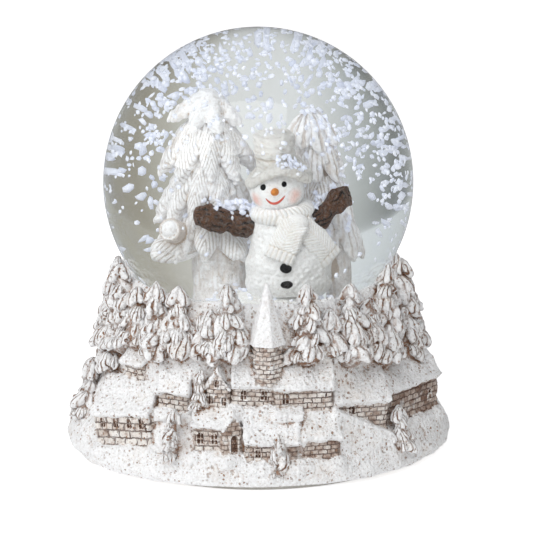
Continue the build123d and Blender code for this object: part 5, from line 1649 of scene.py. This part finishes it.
# Painted refraction: only rays that came through the glass see the floor glow in the studio tones.
painted_refraction_glow = fm.node("ShaderNodeEmission", Color=t_col, Strength=0.95)
t_lp = fm.node("ShaderNodeLightPath")
t_mx = fm.node("ShaderNodeMixShader")
fm.t.links.new(fm.math("MULTIPLY", t_lp.outputs["Is Transmission Ray"], 0.95), t_mx.inputs[0])
fm.t.links.new(fl_a.outputs[0], t_mx.inputs[1])
fm.t.links.new(painted_refraction_glow.outputs[0], t_mx.inputs[2])
painted_reflection_grey = fm.node("ShaderNodeEmission", Color=(0.30, 0.30, 0.30, 1), Strength=1.0)      # painted reflection: glossy rays see the floor as dim grey, darkening what the glass reflects
t_m2 = fm.node("ShaderNodeMixShader")
fm.t.links.new(fm.math("MULTIPLY", fm.math("SUBTRACT", t_lp.outputs["Is Glossy Ray"], t_lp.outputs["Is Transmission Ray"], clamp=True), 0.85), t_m2.inputs[0])
fm.t.links.new(t_mx.outputs[0], t_m2.inputs[1])
fm.t.links.new(painted_reflection_grey.outputs[0], t_m2.inputs[2])
fm.finish(t_m2.outputs[0])
me = bpy.data.meshes.new("studio_floor")
me.from_pydata([(-9, -9, 0), (9, -9, 0), (9, 9, 0), (-9, 9, 0)], [], [(0, 1, 2, 3)])
me.materials.append(fm.m)
floor = bpy.data.objects.new("studio_floor", me)
sc.collection.objects.link(floor)

world = bpy.data.worlds.new("studio")
sc.world = world
world.use_nodes = True
wt = world.node_tree
wt.nodes.clear()
w_out = wt.nodes.new("ShaderNodeOutputWorld")
w_bg = wt.nodes.new("ShaderNodeBackground")
w_bg.inputs["Strength"].default_value = 0.50
w_tc = wt.nodes.new("ShaderNodeTexCoord")
w_sep = wt.nodes.new("ShaderNodeSeparateXYZ")
wt.links.new(w_tc.outputs["Generated"], w_sep.inputs[0])
w_mr = wt.nodes.new("ShaderNodeValToRGB")            # paler on the left, a dim wall on the right
w_half = wt.nodes.new("ShaderNodeMath")
w_half.operation = "MULTIPLY_ADD"
w_half.inputs[1].default_value = 0.5
w_half.inputs[2].default_value = 0.5
wt.links.new(w_sep.outputs[0], w_half.inputs[0])
wt.links.new(w_half.outputs[0], w_mr.inputs["Fac"])
for e, (p_, c_) in zip(w_mr.color_ramp.elements, ((0.5, (0.98, 0.98, 1.0, 1)), (0.95, (0.40, 0.38, 0.36, 1)))):
    e.position, e.color = p_, c_
wt.links.new(w_mr.outputs["Color"], w_bg.inputs["Color"])
w_t = wt.nodes.new("ShaderNodeBackground")
w_t.inputs["Strength"].default_value = 0.98
wt.links.new(tent(wt, w_tc.outputs["Generated"], SKY), w_t.inputs["Color"])
w_lp = wt.nodes.new("ShaderNodeLightPath")
w_mx = wt.nodes.new("ShaderNodeMixShader")
wt.links.new(w_lp.outputs["Is Transmission Ray"], w_mx.inputs[0])
wt.links.new(w_bg.outputs[0], w_mx.inputs[1])
wt.links.new(w_t.outputs[0], w_mx.inputs[2])
w_g = wt.nodes.new("ShaderNodeBackground")          # dimmer room in reflections
w_g.inputs["Color"].default_value = (0.14, 0.14, 0.15, 1)
w_m3 = wt.nodes.new("ShaderNodeMixShader")
w_gf = wt.nodes.new("ShaderNodeMath")
w_gf.operation = "MULTIPLY"
w_gf.inputs[1].default_value = 0.7
w_gs = wt.nodes.new("ShaderNodeMath")
w_gs.operation = "SUBTRACT"
w_gs.use_clamp = True
wt.links.new(w_lp.outputs["Is Glossy Ray"], w_gs.inputs[0])
wt.links.new(w_lp.outputs["Is Transmission Ray"], w_gs.inputs[1])
wt.links.new(w_gs.outputs[0], w_gf.inputs[0])
wt.links.new(w_gf.outputs[0], w_m3.inputs[0])
wt.links.new(w_mx.outputs[0], w_m3.inputs[1])
wt.links.new(w_g.outputs[0], w_m3.inputs[2])
w_c = wt.nodes.new("ShaderNodeBackground")          # white backdrop
w_c.inputs["Color"].default_value = (0.955, 0.955, 0.955, 1)
w_m2 = wt.nodes.new("ShaderNodeMixShader")
wt.links.new(w_lp.outputs["Is Camera Ray"], w_m2.inputs[0])
wt.links.new(w_m3.outputs[0], w_m2.inputs[1])
wt.links.new(w_c.outputs[0], w_m2.inputs[2])
wt.links.new(w_m2.outputs[0], w_out.inputs[0])


def area(name, loc, size, energy, color=(1, 1, 1), target=(0, 0, 0.05)):
    li = bpy.data.lights.new(name, "AREA")
    li.shape = "RECTANGLE"
    li.size, li.size_y = size
    li.energy = energy
    li.color = color
    ob = bpy.data.objects.new(name, li)
    ob.location = loc
    ob.rotation_euler = (Vector(target) - Vector(loc)).to_track_quat("-Z", "Y").to_euler()
    sc.collection.objects.link(ob)
    return ob


key = area("key", (-0.78, -0.50, 0.58), (0.5, 0.5), 3.2, (1.0, 0.99, 0.97))
top = area("top", (-0.04, -0.56, 0.82), (0.7, 0.7), 3.5, (1.0, 1.0, 1.0))
front = area("front", (-0.15, -1.1, 0.2), (0.7, 0.5), 0.65, (1.0, 1.0, 1.0), (0, 0, 0.06))
front.visible_glossy = False
for li in (key, top, front):
    li.visible_transmission = False

cam_d = bpy.data.cameras.new("camera")
cam_d.sensor_width = 36.0
cam_d.lens = 196.27
cam_d.clip_start = 0.05
cam_d.clip_end = 60.0
cam = bpy.data.objects.new("camera", cam_d)
cam.location = (0.002116, -0.73009, 0.242048)
cam.rotation_euler = (math.radians(75.0), 0, 0)
sc.collection.objects.link(cam)
sc.camera = cam

sc.view_settings.view_transform = "Standard"
sc.view_settings.look = "None"
sc.view_settings.exposure = 0.0
cy = sc.cycles
cy.use_denoising = True
cy.max_bounces = 14
cy.transmission_bounces = 12
cy.transparent_max_bounces = 16
cy.diffuse_bounces = 4
cy.glossy_bounces = 4
cy.caustics_refractive = False
cy.caustics_reflective = False
cy.sample_clamp_indirect = 6.0

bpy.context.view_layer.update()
log("scene done")
